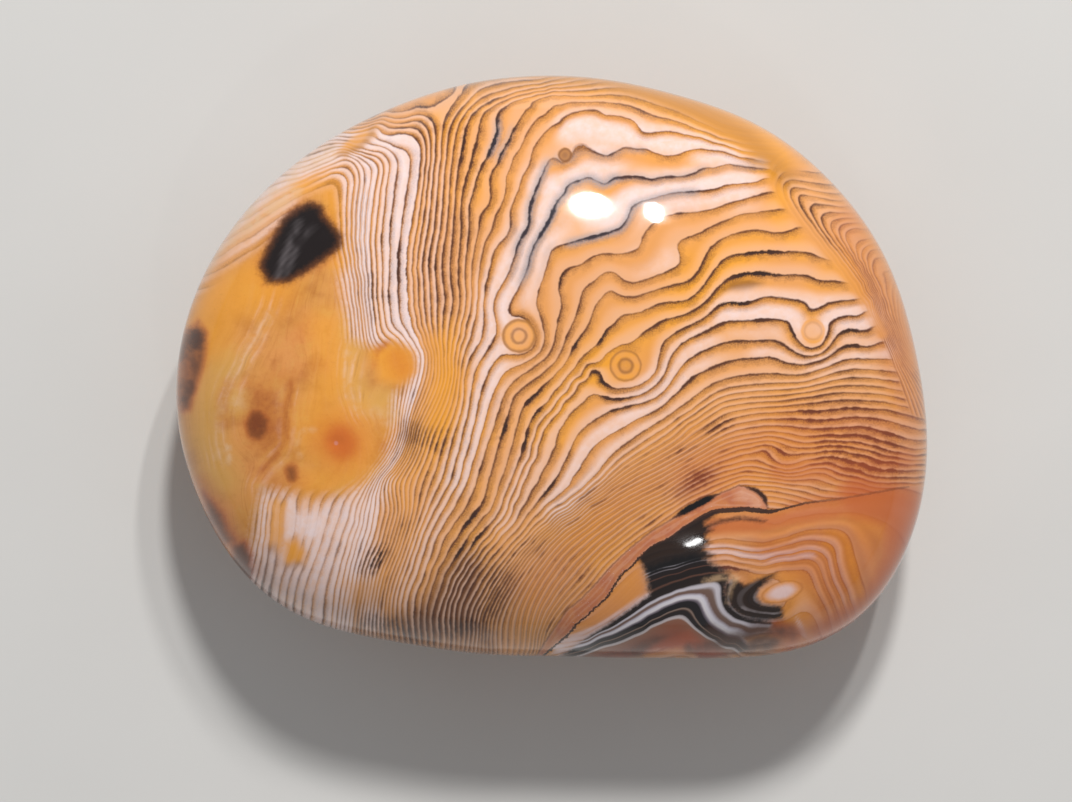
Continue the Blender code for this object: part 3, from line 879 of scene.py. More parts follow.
@dataclass
class Recipe:
    """A node tree that is written as sums."""

    tree: bpy.types.NodeTree

    def feed(self, socket: bpy.types.NodeSocket, value: Any) -> None:
        """Link a socket to another, or set its value.

        Args:
            socket: The input.
            value: An output socket, a plain value, or None to leave the input as it is.
        """
        if isinstance(value, bpy.types.NodeSocket):
            self.tree.links.new(value, socket)
        elif value is not None:
            socket.default_value = value

    def node(self, kind: str, *values: Any, **settings: Any) -> bpy.types.Node:
        """Add a node.

        Args:
            kind: The node's type.
            values: What its first inputs get, in order.
            settings: Its own settings by name.

        Returns:
            The node.
        """
        made = self.tree.nodes.new(kind)
        for name, value in settings.items():
            setattr(made, name, value)
        for socket, value in zip(made.inputs, values):
            self.feed(socket, value)
        return made

    def sum(self, operation: str, *values: Any, clamp: bool = False) -> bpy.types.NodeSocket:
        """Add a math node and return its result."""
        return self.node("ShaderNodeMath", *values, operation=operation, use_clamp=clamp).outputs[0]

    def times(self, first: Any, *others: Any, clamp: bool = False) -> bpy.types.NodeSocket:
        """Multiply values, one after the other.

        Args:
            first: The first value.
            others: The others.
            clamp: Whether the whole product is held between 0 and 1.

        Returns:
            The product.
        """
        for value in others[:-1]:
            first = self.sum("MULTIPLY", first, value)
        return self.sum("MULTIPLY", first, others[-1], clamp=clamp)

    def plus(self, first: Any, second: Any, clamp: bool = False) -> bpy.types.NodeSocket:
        """Add two values."""
        return self.sum("ADD", first, second, clamp=clamp)

    def minus(self, first: Any, second: Any, clamp: bool = False) -> bpy.types.NodeSocket:
        """Take the second value from the first."""
        return self.sum("SUBTRACT", first, second, clamp=clamp)

    def scaled(self, value: Any, factor: Any, added: Any) -> bpy.types.NodeSocket:
        """Multiply a value by a factor and add another value."""
        return self.sum("MULTIPLY_ADD", value, factor, added)

    def parts(self, vector: Any) -> bpy.types.bpy_prop_collection:
        """Return the X, Y and Z of a vector."""
        return self.node("ShaderNodeSeparateXYZ", vector).outputs

    def vector(self, x: Any, y: Any, z: Any) -> bpy.types.NodeSocket:
        """Add a node that makes a vector of three numbers."""
        return self.node("ShaderNodeCombineXYZ", x, y, z).outputs[0]

    def step(self, value: Any, low: float, high: float, start: float = 0.0, end: float = 1.0,
             ) -> bpy.types.NodeSocket:
        """Add a soft step from start at low to end at high.

        Args:
            value: The number that is stepped.
            low: Where the step starts.
            high: Where it ends.
            start: The result at low.
            end: The result at high.

        Returns:
            The stepped number.
        """
        made = self.node("ShaderNodeMapRange", value, low, high, start, end)
        made.interpolation_type = "SMOOTHSTEP"
        return made.outputs[0]

    def attribute(self, name: str, output: str = "Fac") -> bpy.types.NodeSocket:
        """Read an attribute of the mesh in a shader."""
        return self.node("ShaderNodeAttribute", attribute_name=name).outputs[output]

    def mix(self, share: Any, first: Any, second: Any, blend: str = "MIX") -> bpy.types.NodeSocket:
        """Mix two colours.

        Args:
            share: How much of the second there is.
            first: The first colour.
            second: The second colour.
            blend: How they are mixed.

        Returns:
            The mixed colour.
        """
        made = self.node("ShaderNodeMix", data_type="RGBA", blend_type=blend)
        self.feed(made.inputs[0], share)
        self.feed(made.inputs[6], first)
        self.feed(made.inputs[7], second)
        return made.outputs[2]

    def ramp(self, value: Any, stops: tuple[tuple[float, tuple], ...]) -> bpy.types.NodeSocket:
        """Add a run of colours.

        Args:
            value: Where the run is read.
            stops: The values and their colours, in order.

        Returns:
            The colour.
        """
        low, high = stops[0][0], stops[-1][0]
        read = self.node("ShaderNodeMapRange", value, low, high).outputs[0]
        made = self.node("ShaderNodeValToRGB", read)
        elements = made.color_ramp.elements
        for number, (place, colour) in enumerate(stops):
            share = (place - low) / (high - low)
            element = elements[number] if number < len(elements) else elements.new(share)
            element.position = share
            element.color = colour
        return made.outputs[0]

    def noise(self, place: Any, scale: float, detail: float = 2.0, rough: float = 0.5,
              ) -> bpy.types.NodeSocket:
        """Add a cloudy noise from 0 to 1.

        Args:
            place: Where it is read.
            scale: How small its clouds are.
            detail: How many finer clouds it has.
            rough: How strong those are.

        Returns:
            The noise.
        """
        made = self.node("ShaderNodeTexNoise", place)
        made.inputs["Scale"].default_value = scale
        made.inputs["Detail"].default_value = detail
        made.inputs["Roughness"].default_value = rough
        return made.outputs[0]


@dataclass
class BandField:
    """A smooth height over the photograph, on which each guide line keeps its own level.

    Attributes:
        guides: Each guide's level, then X and Y of its points in turn, in pixels.
        smooth: How far it may leave the guides, for smooth bands.
        unit: The length, in pixels, that distances are counted in.
        points: The guides' points, in units.
        weights: How strongly each point bends the sheet, then the sheet's height and its two slopes.
    """

    guides: tuple[Numbers, ...]
    smooth: float = 0.002
    unit: float = 100.0
    points: np.ndarray = field(init=False)
    weights: np.ndarray = field(init=False)

    def __post_init__(self) -> None:
        """Solve the bent sheet through the guides."""
        rows = [(level, point) for level, *numbers in self.guides for point in points(*numbers)]
        self.points = np.array([point for _, point in rows], float) / self.unit
        levels = [level for level, _ in rows]
        count = len(self.points)
        plane = np.column_stack([np.ones(count), self.points])
        matrix = np.zeros((count + 3, count + 3))
        matrix[:count, :count] = self.bend(self.points) + self.smooth * np.eye(count)
        matrix[:count, count:] = plane
        matrix[count:, :count] = plane.T
        self.weights = np.linalg.solve(matrix, np.concatenate([levels, np.zeros(3)]))

    def bend(self, places: np.ndarray) -> np.ndarray:
        """Return how each guide point bends the sheet at each place."""
        square = ((places[:, None, :] - self.points[None, :, :]) ** 2).sum(-1)
        return 0.5 * square * np.log(np.maximum(square, 1e-12))

    def read(self, pixels: np.ndarray, batch: int = 4000) -> tuple[np.ndarray, np.ndarray]:
        """Read the sheet at each pixel.

        Args:
            pixels: Rows of pixels.
            batch: How many are worked out at once.

        Returns:
            The levels, and the distances from band to band in pixels, held between 2 and 40.
        """
        weights, offset, tilt = self.weights[:-3], self.weights[-3], self.weights[-2:]
        levels, slopes = np.empty(len(pixels)), np.empty(len(pixels))
        for start in range(0, len(pixels), batch):
            places = pixels[start:start + batch] / self.unit
            gaps = places[:, None, :] - self.points[None, :, :]
            square = (gaps ** 2).sum(-1)
            logs = np.log(np.maximum(square, 1e-12))
            levels[start:start + batch] = (0.5 * square * logs) @ weights + places @ tilt + offset
            pull = (logs + 1.0) * weights
            slope = np.einsum("pg,pgc->pc", pull, gaps) + tilt
            slopes[start:start + batch] = np.hypot(slope[:, 0], slope[:, 1])
        return levels, np.clip(self.unit / np.maximum(slopes, 1e-6), 2.0, 40.0)


def stroke_reading(pixels: np.ndarray, path: Line) -> tuple[np.ndarray, np.ndarray]:
    """Measure each pixel against a path.

    Args:
        pixels: Rows of pixels.
        path: The path's points.

    Returns:
        The distances in pixels, and how far along the path the nearest point is, from 0 to 1.
    """
    nearest = np.full(len(pixels), np.inf)
    along = np.zeros(len(pixels))
    walked = 0.0
    for start, end in zip(path, path[1:]):
        run = np.subtract(end, start, dtype=float)
        length = math.hypot(*run)
        offset = pixels - start
        share = np.clip(offset @ run / max(length * length, 1e-9), 0.0, 1.0)
        gap = offset - share[:, None] * run
        distance = np.hypot(gap[:, 0], gap[:, 1])
        along = np.where(distance < nearest, walked + share * length, along)
        nearest = np.minimum(nearest, distance)
        walked += length
    return nearest, along / max(walked, 1e-9)


def zone_depth(pixels: np.ndarray, zone: Line) -> np.ndarray:
    """Return how deep each pixel is inside a closed zone, below 0 outside it.

    Args:
        pixels: Rows of pixels.
        zone: The zone's corners.

    Returns:
        The depths, in pixels.
    """
    inside = np.zeros(len(pixels), bool)
    for (x0, y0), (x1, y1) in zip(zone, zone[1:] + zone[:1]):
        if y0 == y1:
            continue
        crosses = (pixels[:, 1] >= min(y0, y1)) & (pixels[:, 1] < max(y0, y1))
        border = x0 + (pixels[:, 1] - y0) * (x1 - x0) / (y1 - y0)
        inside ^= crosses & (pixels[:, 0] < border)
    distance, _ = stroke_reading(pixels, zone + zone[:1])
    return np.where(inside, distance, -distance)


@dataclass(frozen=True)
class StoneColours:
    """The agate's colours."""

    orange: tuple = linear(230, 157, 88)
    amber: tuple = linear(240, 160, 50)
    honey: tuple = linear(212, 145, 68)
    khaki: tuple = linear(220, 166, 86)
    pink: tuple = linear(243, 198, 172)
    cream: tuple = linear(228, 186, 142)
    white: tuple = linear(242, 219, 216)
    grey: tuple = linear(164, 154, 156)
    line: tuple = linear(104, 60, 38)
    dark: tuple = linear(52, 32, 26)
    black: tuple = linear(14, 10, 12)
    brick: tuple = linear(190, 86, 42)
    rust: tuple = linear(200, 88, 30)
    brown: tuple = linear(84, 40, 18)
    haze: tuple = linear(176, 104, 44)
    muted: tuple = linear(186, 112, 80)
    smoky: tuple = linear(50, 50, 60)


@dataclass(frozen=True)
class BandLook:
    """What one set of bands looks like at a point.

    Attributes:
        colour: Its colour.
        level: Its level, with every dark line at a whole number.
        share: How far the point is from one dark line to the next, from 0 to 1.
        drift: A noise that runs along the bands.
    """

    colour: Any
    level: Any
    share: Any
    drift: Any


@dataclass(frozen=True)
class AgateFinish:
    """The polished, banded stone.

    Attributes:
        colours: Its colours.
        roughness: How much the polish scatters.
        glass: The stone's index of refraction.
        milky_heights: The photo's heights between which the left bands turn milky, in pixels.
        milky_levels: The levels over which that ends.
        striped_levels: The levels over which the chevrons' stripes end, which no red smudge covers.
        coarse_crack: The photo's columns over which the crack loses its coarse chips, in pixels.
        fading_crack: The photo's columns over which the crack turns faint, in pixels.
        blot_border: How deep in the lower bands a black blot starts, in pixels.
        blot_gap: How far above them it may start again, in pixels.
    """

    colours: StoneColours = StoneColours()
    roughness: float = 0.05
    glass: float = 1.54
    milky_heights: tuple[float, float] = (380.0, 460.0)
    milky_levels: tuple[float, float] = (11.2, 13.2)
    striped_levels: tuple[float, float] = (10.4, 11.0)
    coarse_crack: tuple[float, float] = (636.0, 670.0)
    fading_crack: tuple[float, float] = (775.0, 850.0)
    blot_border: tuple[float, float] = (-0.8, 0.6)
    blot_gap: tuple[float, float] = (-60.0, -40.0)

    def banding(self, recipe: Recipe, bands: Bands, tints: dict[Tint, Any], place: Any) -> BandLook:
        """Colour one set of bands.

        Args:
            recipe: The shader tree.
            bands: Which set.
            tints: The marks' strengths.
            place: The pixel's place, for the noises.

        Returns:
            The bands' look.
        """
        r, colours = recipe, self.colours
        bold = BOLDNESS.get(bands, 1.0)
        spacing = r.attribute(f"{bands.value}_spacing")
        wide = r.step(spacing, 3.5, 11.0)
        smooth = bands is Bands.CHEVRON
        shiver = r.minus(r.noise(place, 0.05 if smooth else 0.15, 3.0, 0.55), 0.5)
        shiver = r.times(shiver, r.step(spacing, 3.5, 11.0, 0.9, 1.4 if smooth else 2.0))
        level = r.plus(r.attribute(f"{bands.value}_level"), r.sum("DIVIDE", shiver, spacing))
        share = r.sum("FRACT", level)
        band = r.sum("FLOOR", level)
        chance = r.node("ShaderNodeTexWhiteNoise", noise_dimensions="1D")
        r.feed(chance.inputs["W"], band)
        after = r.times(share, spacing)
        before = r.minus(spacing, after)
        lane = r.times(r.sum("FLOOR", r.plus(level, 0.5)), 73.1)
        across, height, _ = r.parts(place)
        along = r.vector(across, height, lane)
        drift = r.noise(along, 0.012 if bands is Bands.HONEY else 0.035, 3.0, 0.6)
        blots = r.noise(along, 0.11, 2.0, 0.6)
        ink, pale = tints[Tint.INK], tints[Tint.PALE]
        if bands is Bands.MAIN:
            ink = r.sum("MAXIMUM", ink, r.step(r.noise(along, 0.03, 2.0, 0.5), 0.55, 0.75, 0.0, 0.45))
            milky = r.ramp(level, tuple((at, (whiteness,) * 3 + (1.0,)) for at, whiteness in WHITENESS))
            lower = r.times(r.step(height, *self.milky_heights, 0.0, 0.9),
                            r.step(level, *self.milky_levels, 1.0, 0.0))
            pale = r.sum("MAXIMUM", pale, r.sum("MAXIMUM", milky, lower))
            pale = r.times(pale, r.scaled(tints[Tint.AMBER], -0.8, 1.0))
        slim = r.step(wide, 0.0, 1.0, 0.5, 1.0)
        width = r.times(r.step(drift, 0.35, 0.72, 0.40, 1.30), slim)
        swell = r.times(r.step(blots, 0.3, 0.7, 0.4, 2.1), slim)
        width = r.plus(width, r.times(ink, bold, swell))
        fibre = r.noise(place, 0.75, 2.0, 0.6)
        teeth = r.times(r.minus(fibre, 0.5), 0.8 if smooth else 2.4)
        ragged = r.scaled(teeth, wide, width)
        crisp = r.minus(r.scaled(width, 0.8, 0.7), before)
        crisp = r.sum("DIVIDE", crisp, 1.5, clamp=True)
        soft = r.sum("DIVIDE", r.minus(r.plus(ragged, 1.2), after), 2.4, clamp=True)
        strength = r.times(r.step(drift, 0.25, 0.62, 0.50, 0.95), r.step(wide, 0.0, 1.0, 0.70, 1.0))
        if bands is Bands.CHEVRON:
            strength = r.times(strength, 0.55)
        if bands is Bands.MAIN:
            strength = r.times(strength, r.scaled(tints[Tint.FINE], -0.45, 1.0))
        strength = r.plus(strength, ink, clamp=True)
        faint = r.minus(1.0, r.times(tints[Tint.PLAIN], 0.96), clamp=True)
        dark = r.times(r.sum("MAXIMUM", crisp, soft), strength, faint)

        cloud = r.noise(place, 0.012, 3.0, 0.5)
        warm = r.plus(r.step(cloud, 0.40, 0.70, 0.0, 0.6), tints[Tint.AMBER], clamp=True)
        body = r.mix(warm, colours.orange, colours.amber)
        if bands is not Bands.HONEY:
            body = r.mix(r.times(tints[Tint.BROWN], 0.85), body, colours.brown)
        start = r.scaled(pale, -0.36, 0.30)
        end = r.scaled(pale, -0.55, 0.95)
        rise = r.step(share, start, end)
        milk = r.scaled(tints[Tint.BROWN], 0.42, r.scaled(pale, 0.50, 0.46))
        milk = r.times(milk, r.step(chance.outputs[0], 0.0, 1.0, 0.7, 1.15))
        if bands is Bands.CRESCENT:
            milk = r.times(milk, 0.6)
        rise = r.sum("MAXIMUM", rise, r.times(tints[Tint.PLAIN], pale))
        bare = r.sum("MAXIMUM", faint, pale)
        milk = r.times(milk, rise, bare, clamp=True)
        body = r.mix(milk, body, colours.pink)
        cream = r.times(pale, bare, rise, r.step(blots, 0.2, 0.8, 0.45, 1.0), clamp=True)
        body = r.mix(cream, body, colours.white)
        reach = r.times(r.step(wide, 0.0, 1.0, 2.0, 6.5), r.step(blots, 0.3, 0.7, 0.7, 1.3))
        halo = r.node("ShaderNodeMapRange", after, ragged, r.plus(ragged, reach), 0.66, 0.0).outputs[0]
        halo = r.times(halo, strength, faint, r.step(fibre, 0.25, 0.75, 0.45, 1.25), clamp=True)
        halo = r.times(halo, r.scaled(pale, -0.35, 1.0))
        body = r.mix(halo, body, colours.line)
        hair = r.sum("SINE", r.times(level, 4 * math.pi))
        depth = r.scaled(tints[Tint.FINE], 0.14, 0.018)
        hair = r.scaled(hair, depth, r.minus(1.0, depth))
        body = r.mix(1.0, body, r.vector(hair, hair, hair), "MULTIPLY")
        nearest = r.sum("MINIMUM", before, after)
        smoke = r.times(tints[Tint.GREY], r.step(nearest, 0.0, 9.0, 0.95, 0.06))
        smoke = r.times(smoke, r.step(fibre, 0.25, 0.75, 0.65, 1.1), clamp=True)
        body = r.mix(smoke, body, colours.grey)
        line = r.mix(ink, colours.line, colours.dark)
        line = r.mix(r.times(tints[Tint.GREY], 0.8), line, colours.smoky)
        return BandLook(r.mix(dark, body, line), level, share, drift)

    def honey_stone(self, recipe: Recipe, tints: dict[Tint, Any], place: Any, bands: BandLook,
                    swirls: BandLook, depth: Any) -> Any:
        """Colour the clear honey stone, with faint swirls in it.

        Args:
            recipe: The shader tree.
            tints: The marks' strengths.
            place: The pixel's place, for the noises.
            bands: The look of the bands that it borders on.
            swirls: The look of the swirls.
            depth: How deep the point is in the honey stone, in pixels.

        Returns:
            The colour.
        """
        r, colours = recipe, self.colours
        cloud = r.noise(place, 0.016, 4.0, 0.55)
        body = r.mix(r.step(cloud, 0.35, 0.65, 0.0, 0.7), colours.honey, colours.orange)
        _, height, _ = r.parts(place)
        grain = r.vector(r.times(swirls.level, 4.5), r.times(height, 0.016), 0.0)
        grain = r.noise(grain, 1.0, 4.0, 0.62)
        body = r.mix(r.step(grain, 0.50, 0.74, 0.0, 0.44), body, colours.haze)
        body = r.mix(r.step(grain, 0.48, 0.26, 0.0, 0.50), body, colours.khaki)
        haze = r.noise(place, 0.030, 4.0, 0.6)
        body = r.mix(r.step(haze, 0.48, 0.70, 0.0, 0.52), body, colours.haze)
        body = r.mix(r.step(haze, 0.46, 0.28, 0.0, 0.60), body, colours.khaki)
        body = r.mix(tints[Tint.PALE], body, colours.khaki)
        body = r.mix(r.times(tints[Tint.AMBER], 0.75), body, colours.amber)
        patchy = r.step(r.noise(place, 0.045, 3.0, 0.6), 0.38, 0.62, 0.15, 1.0)
        here = r.times(r.plus(tints[Tint.GREY], 0.05, clamp=True), patchy)
        wisp = r.times(r.step(swirls.share, 0.20, 0.55), r.step(swirls.share, 0.55, 0.85, 1.0, 0.0))
        wisp = r.times(wisp, r.step(swirls.drift, 0.35, 0.60, 0.10, 0.55))
        body = r.mix(r.times(wisp, here), body, colours.pink)
        thread = r.step(swirls.share, 0.72, 1.0, 0.0, 1.0)
        thread = r.times(thread, r.step(swirls.drift, 0.44, 0.66, 0.06, 0.42))
        body = r.mix(r.times(thread, here), body, colours.brown)
        speck = r.step(r.noise(place, 0.5, 2.0, 0.7), 0.60, 0.74, 0.0, 0.12)
        body = r.mix(speck, body, colours.brown)
        return r.mix(r.step(depth, 0.0, 14.0, 0.55, 0.0), body, bands.colour)

    def eye_rings(self, recipe: Recipe, place: Any, eye: Eye, colour: Any) -> Any:
        """Draw one eye, or one painted highlight in a pit, over a colour.

        Args:
            recipe: The shader tree.
            place: The pixel's place.
            eye: The eye.
            colour: The colour so far.

        Returns:
            The colour with the eye in it.
        """
        r, colours = recipe, self.colours
        x, y, _ = r.parts(place)
        across = r.minus(x, eye.centre[0])
        along = r.minus(y, eye.centre[1])
        turn = math.radians(eye.turn)
        cosine, sine = math.cos(turn), math.sin(turn)
        long = r.minus(r.times(across, cosine), r.times(along, sine))
        short = r.plus(r.times(across, sine), r.times(along, cosine))
        long = r.sum("DIVIDE", long, eye.stretch)
        radius = r.sum("SQRT", r.plus(r.times(long, long), r.times(short, short)))
        shiver = r.minus(r.noise(place, 0.13, 3.0, 0.6), 0.5)
        radius = r.scaled(shiver, 2.4, radius)
        cloud = r.step(r.noise(place, 0.06), 0.35, 0.65, 0.2, 0.8)
        body = r.mix(cloud, colours.orange, colours.amber)
        body = r.mix(r.step(radius, eye.reach * 0.35, eye.reach, eye.pale, 0.0), body, colours.white)
        for ring in eye.rings:
            gap = r.sum("ABSOLUTE", r.minus(radius, ring.radius))
            body = r.mix(r.step(gap, 0.0, ring.width * 2.2, ring.strength, 0.0), body, colours.line)
        inside = r.step(radius, eye.reach - 1.0, eye.reach + 1.5, eye.strength, 0.0)
        inside = r.times(inside, r.attribute("seen"))
        return r.mix(inside, colour, body)

    def vein_stone(self, recipe: Recipe, tints: dict[Tint, Any], place: Any, depth: Any) -> Any:
        """Colour the pinkish-brown vein between its dark rim and the crack.

        Args:
            recipe: The shader tree.
            tints: The marks' strengths.
            place: The pixel's place, for the noises.
            depth: How deep the point is in the vein, in pixels.

        Returns:
            The colour.
        """
        r, colours = recipe, self.colours
        cloud = r.step(r.noise(place, 0.08, 3.0), 0.3, 0.7, 0.55, 0.95)
        body = r.mix(cloud, colours.orange, colours.muted)
        ply = r.sum("SINE", r.times(depth, 1.3))
        body = r.mix(r.step(ply, -0.2, 1.0, 0.0, 0.20), body, colours.pink)
        body = r.mix(r.times(tints[Tint.PALE], 0.45), body, colours.pink)
        speck = r.step(r.noise(place, 0.55, 2.0, 0.6), 0.66, 0.72, 0.0, 0.9)
        speck = r.times(speck, r.step(r.noise(place, 0.03), 0.50, 0.60))
        return r.mix(speck, body, colours.white)

    def material(self) -> bpy.types.Material:
        """Make the stone's material.

        Returns:
            The material.
        """
        material = bpy.data.materials.new("banded_agate")
        material.use_nodes = True
        r = Recipe(material.node_tree)
        shader = material.node_tree.nodes["Principled BSDF"]
        colours = self.colours
        place = r.attribute("photo_place", "Vector")
        tints = {tint: r.attribute(tint.value) for tint in Tint}
        main, crescent, chevron, swirls = (self.banding(r, bands, tints, place) for bands in Bands)
        fuzz = r.times(r.minus(r.noise(place, 0.22, 4.0, 0.68), 0.5), 4.0)

        honey_depth = r.scaled(fuzz, 2.5, r.attribute(Edge.HONEY.value))
        honey = self.honey_stone(r, tints, place, main, swirls, honey_depth)
        colour = r.mix(r.step(honey_depth, -4.0, 5.0), main.colour, honey)
        depth = r.attribute(Edge.CRESCENT.value)
        colour = r.mix(r.step(depth, -3.0, 2.0), colour, crescent.colour)

        depth = r.scaled(fuzz, 0.4, r.attribute(Edge.VEIN.value))
        colour = r.mix(r.step(depth, -0.5, 0.8), colour, self.vein_stone(r, tints, place, depth))
        rim = r.attribute("rim")
        gap = r.minus(r.sum("ABSOLUTE", r.scaled(fuzz, 0.5, depth)), rim)
        rim_line = r.times(r.step(gap, -1.7, 1.1, 1.0, 0.0), r.step(rim, 0.1, 1.6, 0.45, 1.0))
        rim_line = r.times(rim_line, r.step(rim, 0.0, 0.3))

        depth = r.scaled(fuzz, 0.9, r.attribute(Edge.LOWER.value))
        stops = tuple((level, linear(*named)) for level, named in CHEVRON_STRIPES)
        lower = r.step(depth, -0.4, 0.6)
        striped = r.step(r.scaled(fuzz, 0.18, tints[Tint.GREY]), 0.15, 0.85)
        bent = r.mix(striped, chevron.colour, r.ramp(chevron.level, stops))
        colour = r.mix(lower, colour, bent)
        for eye in EYES_AND_PIT_GLINTS:
            colour = self.eye_rings(r, place, eye, colour)

        in_honey = r.step(honey_depth, -8.0, 0.0)
        stripes = r.times(striped, lower, r.step(chevron.level, *self.striped_levels, 0.9, 0.0))
        smudge = r.times(r.scaled(fuzz, 0.04, tints[Tint.BRICK]), r.minus(1.0, stripes))
        red = r.mix(in_honey, colours.brick, colours.rust)
        colour = r.mix(r.step(smudge, 0.0, 1.0, 0.0, 0.80), colour, red)
        mottle = r.step(r.noise(place, 0.045, 2.0, 0.5), 0.34, 0.54, 0.80, 1.08)
        where = r.sum("MAXIMUM", in_honey, r.step(r.attribute(Edge.LOWER.value), 0.0, 2.0))
        smudge = r.times(r.scaled(fuzz, 0.05, r.times(tints[Tint.BROWN], mottle)), where)
        stain = r.times(r.step(smudge, 0.02, 0.55, 0.0, 0.5), in_honey)
        colour = r.mix(stain, colour, colours.rust)
        colour = r.mix(r.step(smudge, 0.15, 1.0, 0.0, 0.9), colour, colours.brown)
        thin = r.step(r.sum("PINGPONG", chevron.share, 0.25), 0.13, 0.22)
        streak = r.times(thin, tints[Tint.FINE], r.step(chevron.drift, 0.40, 0.62, 0.20, 0.85))
        wisp = r.times(tints[Tint.PALE], r.step(r.noise(place, 0.04, 2.0), 0.35, 0.65, 0.05, 0.30))
        streak = r.plus(streak, r.times(in_honey, wisp))
        ebony = r.mix(streak, colours.black, colours.grey)
        blot = r.scaled(fuzz, r.step(in_honey, 0.0, 1.0, 0.13, 0.10), tints[Tint.BLACK])
        crossing = r.scaled(fuzz, 0.5, r.attribute(Edge.LOWER.value))
        kept = r.sum("MAXIMUM", r.step(crossing, *self.blot_border),
                     r.step(crossing, *self.blot_gap, 1.0, 0.0))
        blot = r.times(blot, kept)
        singe = r.times(r.step(blot, 0.0, 0.50, 0.0, 0.85), in_honey)
        colour = r.mix(singe, colour, colours.brown)
        colour = r.mix(r.step(blot, 0.12, 0.88, 0.0, 0.97), colour, ebony)
        wisps = r.step(r.noise(place, 0.09, 3.0, 0.6), 0.32, 0.58, 0.45, 1.0)
        wisps = r.times(wisps, tints[Tint.CREAM])
        colour = r.mix(r.step(wisps, 0.05, 0.95, 0.0, 0.85), colour, colours.cream)

        colour = r.mix(rim_line, colour, r.mix(r.step(rim, 1.2, 3.6), colours.line, colours.black))
        crack = r.attribute("crack")
        jag = r.minus(r.noise(place, 0.30, 2.0, 0.7), 0.5)
        across, _, _ = r.parts(place)
        jag = r.times(jag, r.step(across, *self.coarse_crack, 6.0, 2.6))
        gap = r.minus(r.sum("ABSOLUTE", r.plus(jag, r.attribute(Edge.LOWER.value))), crack)
        crack_line = r.times(r.step(gap, -0.6, 0.6, 0.95, 0.0), r.step(crack, 0.1, 0.7))
        crack_line = r.times(crack_line, r.step(across, *self.fading_crack, 1.0, 0.35))
        colour = r.mix(crack_line, colour, colours.dark)
        r.feed(shader.inputs["Base Color"], colour)
        shader.inputs["IOR"].default_value = self.glass
        least, most = self.roughness * 0.8, self.roughness * 1.4
        polish = r.step(r.noise(place, 0.02, 4.0, 0.6), 0.3, 0.7, least, most)
        r.feed(shader.inputs["Roughness"], polish)
        bump = r.node("ShaderNodeBump")
        bump.inputs["Strength"].default_value = 0.05
        bump.inputs["Distance"].default_value = 0.00005
        r.feed(bump.inputs["Height"], r.noise(place, 0.05, 4.0, 0.6))
        r.feed(shader.inputs["Normal"], bump.outputs[0])
        return material


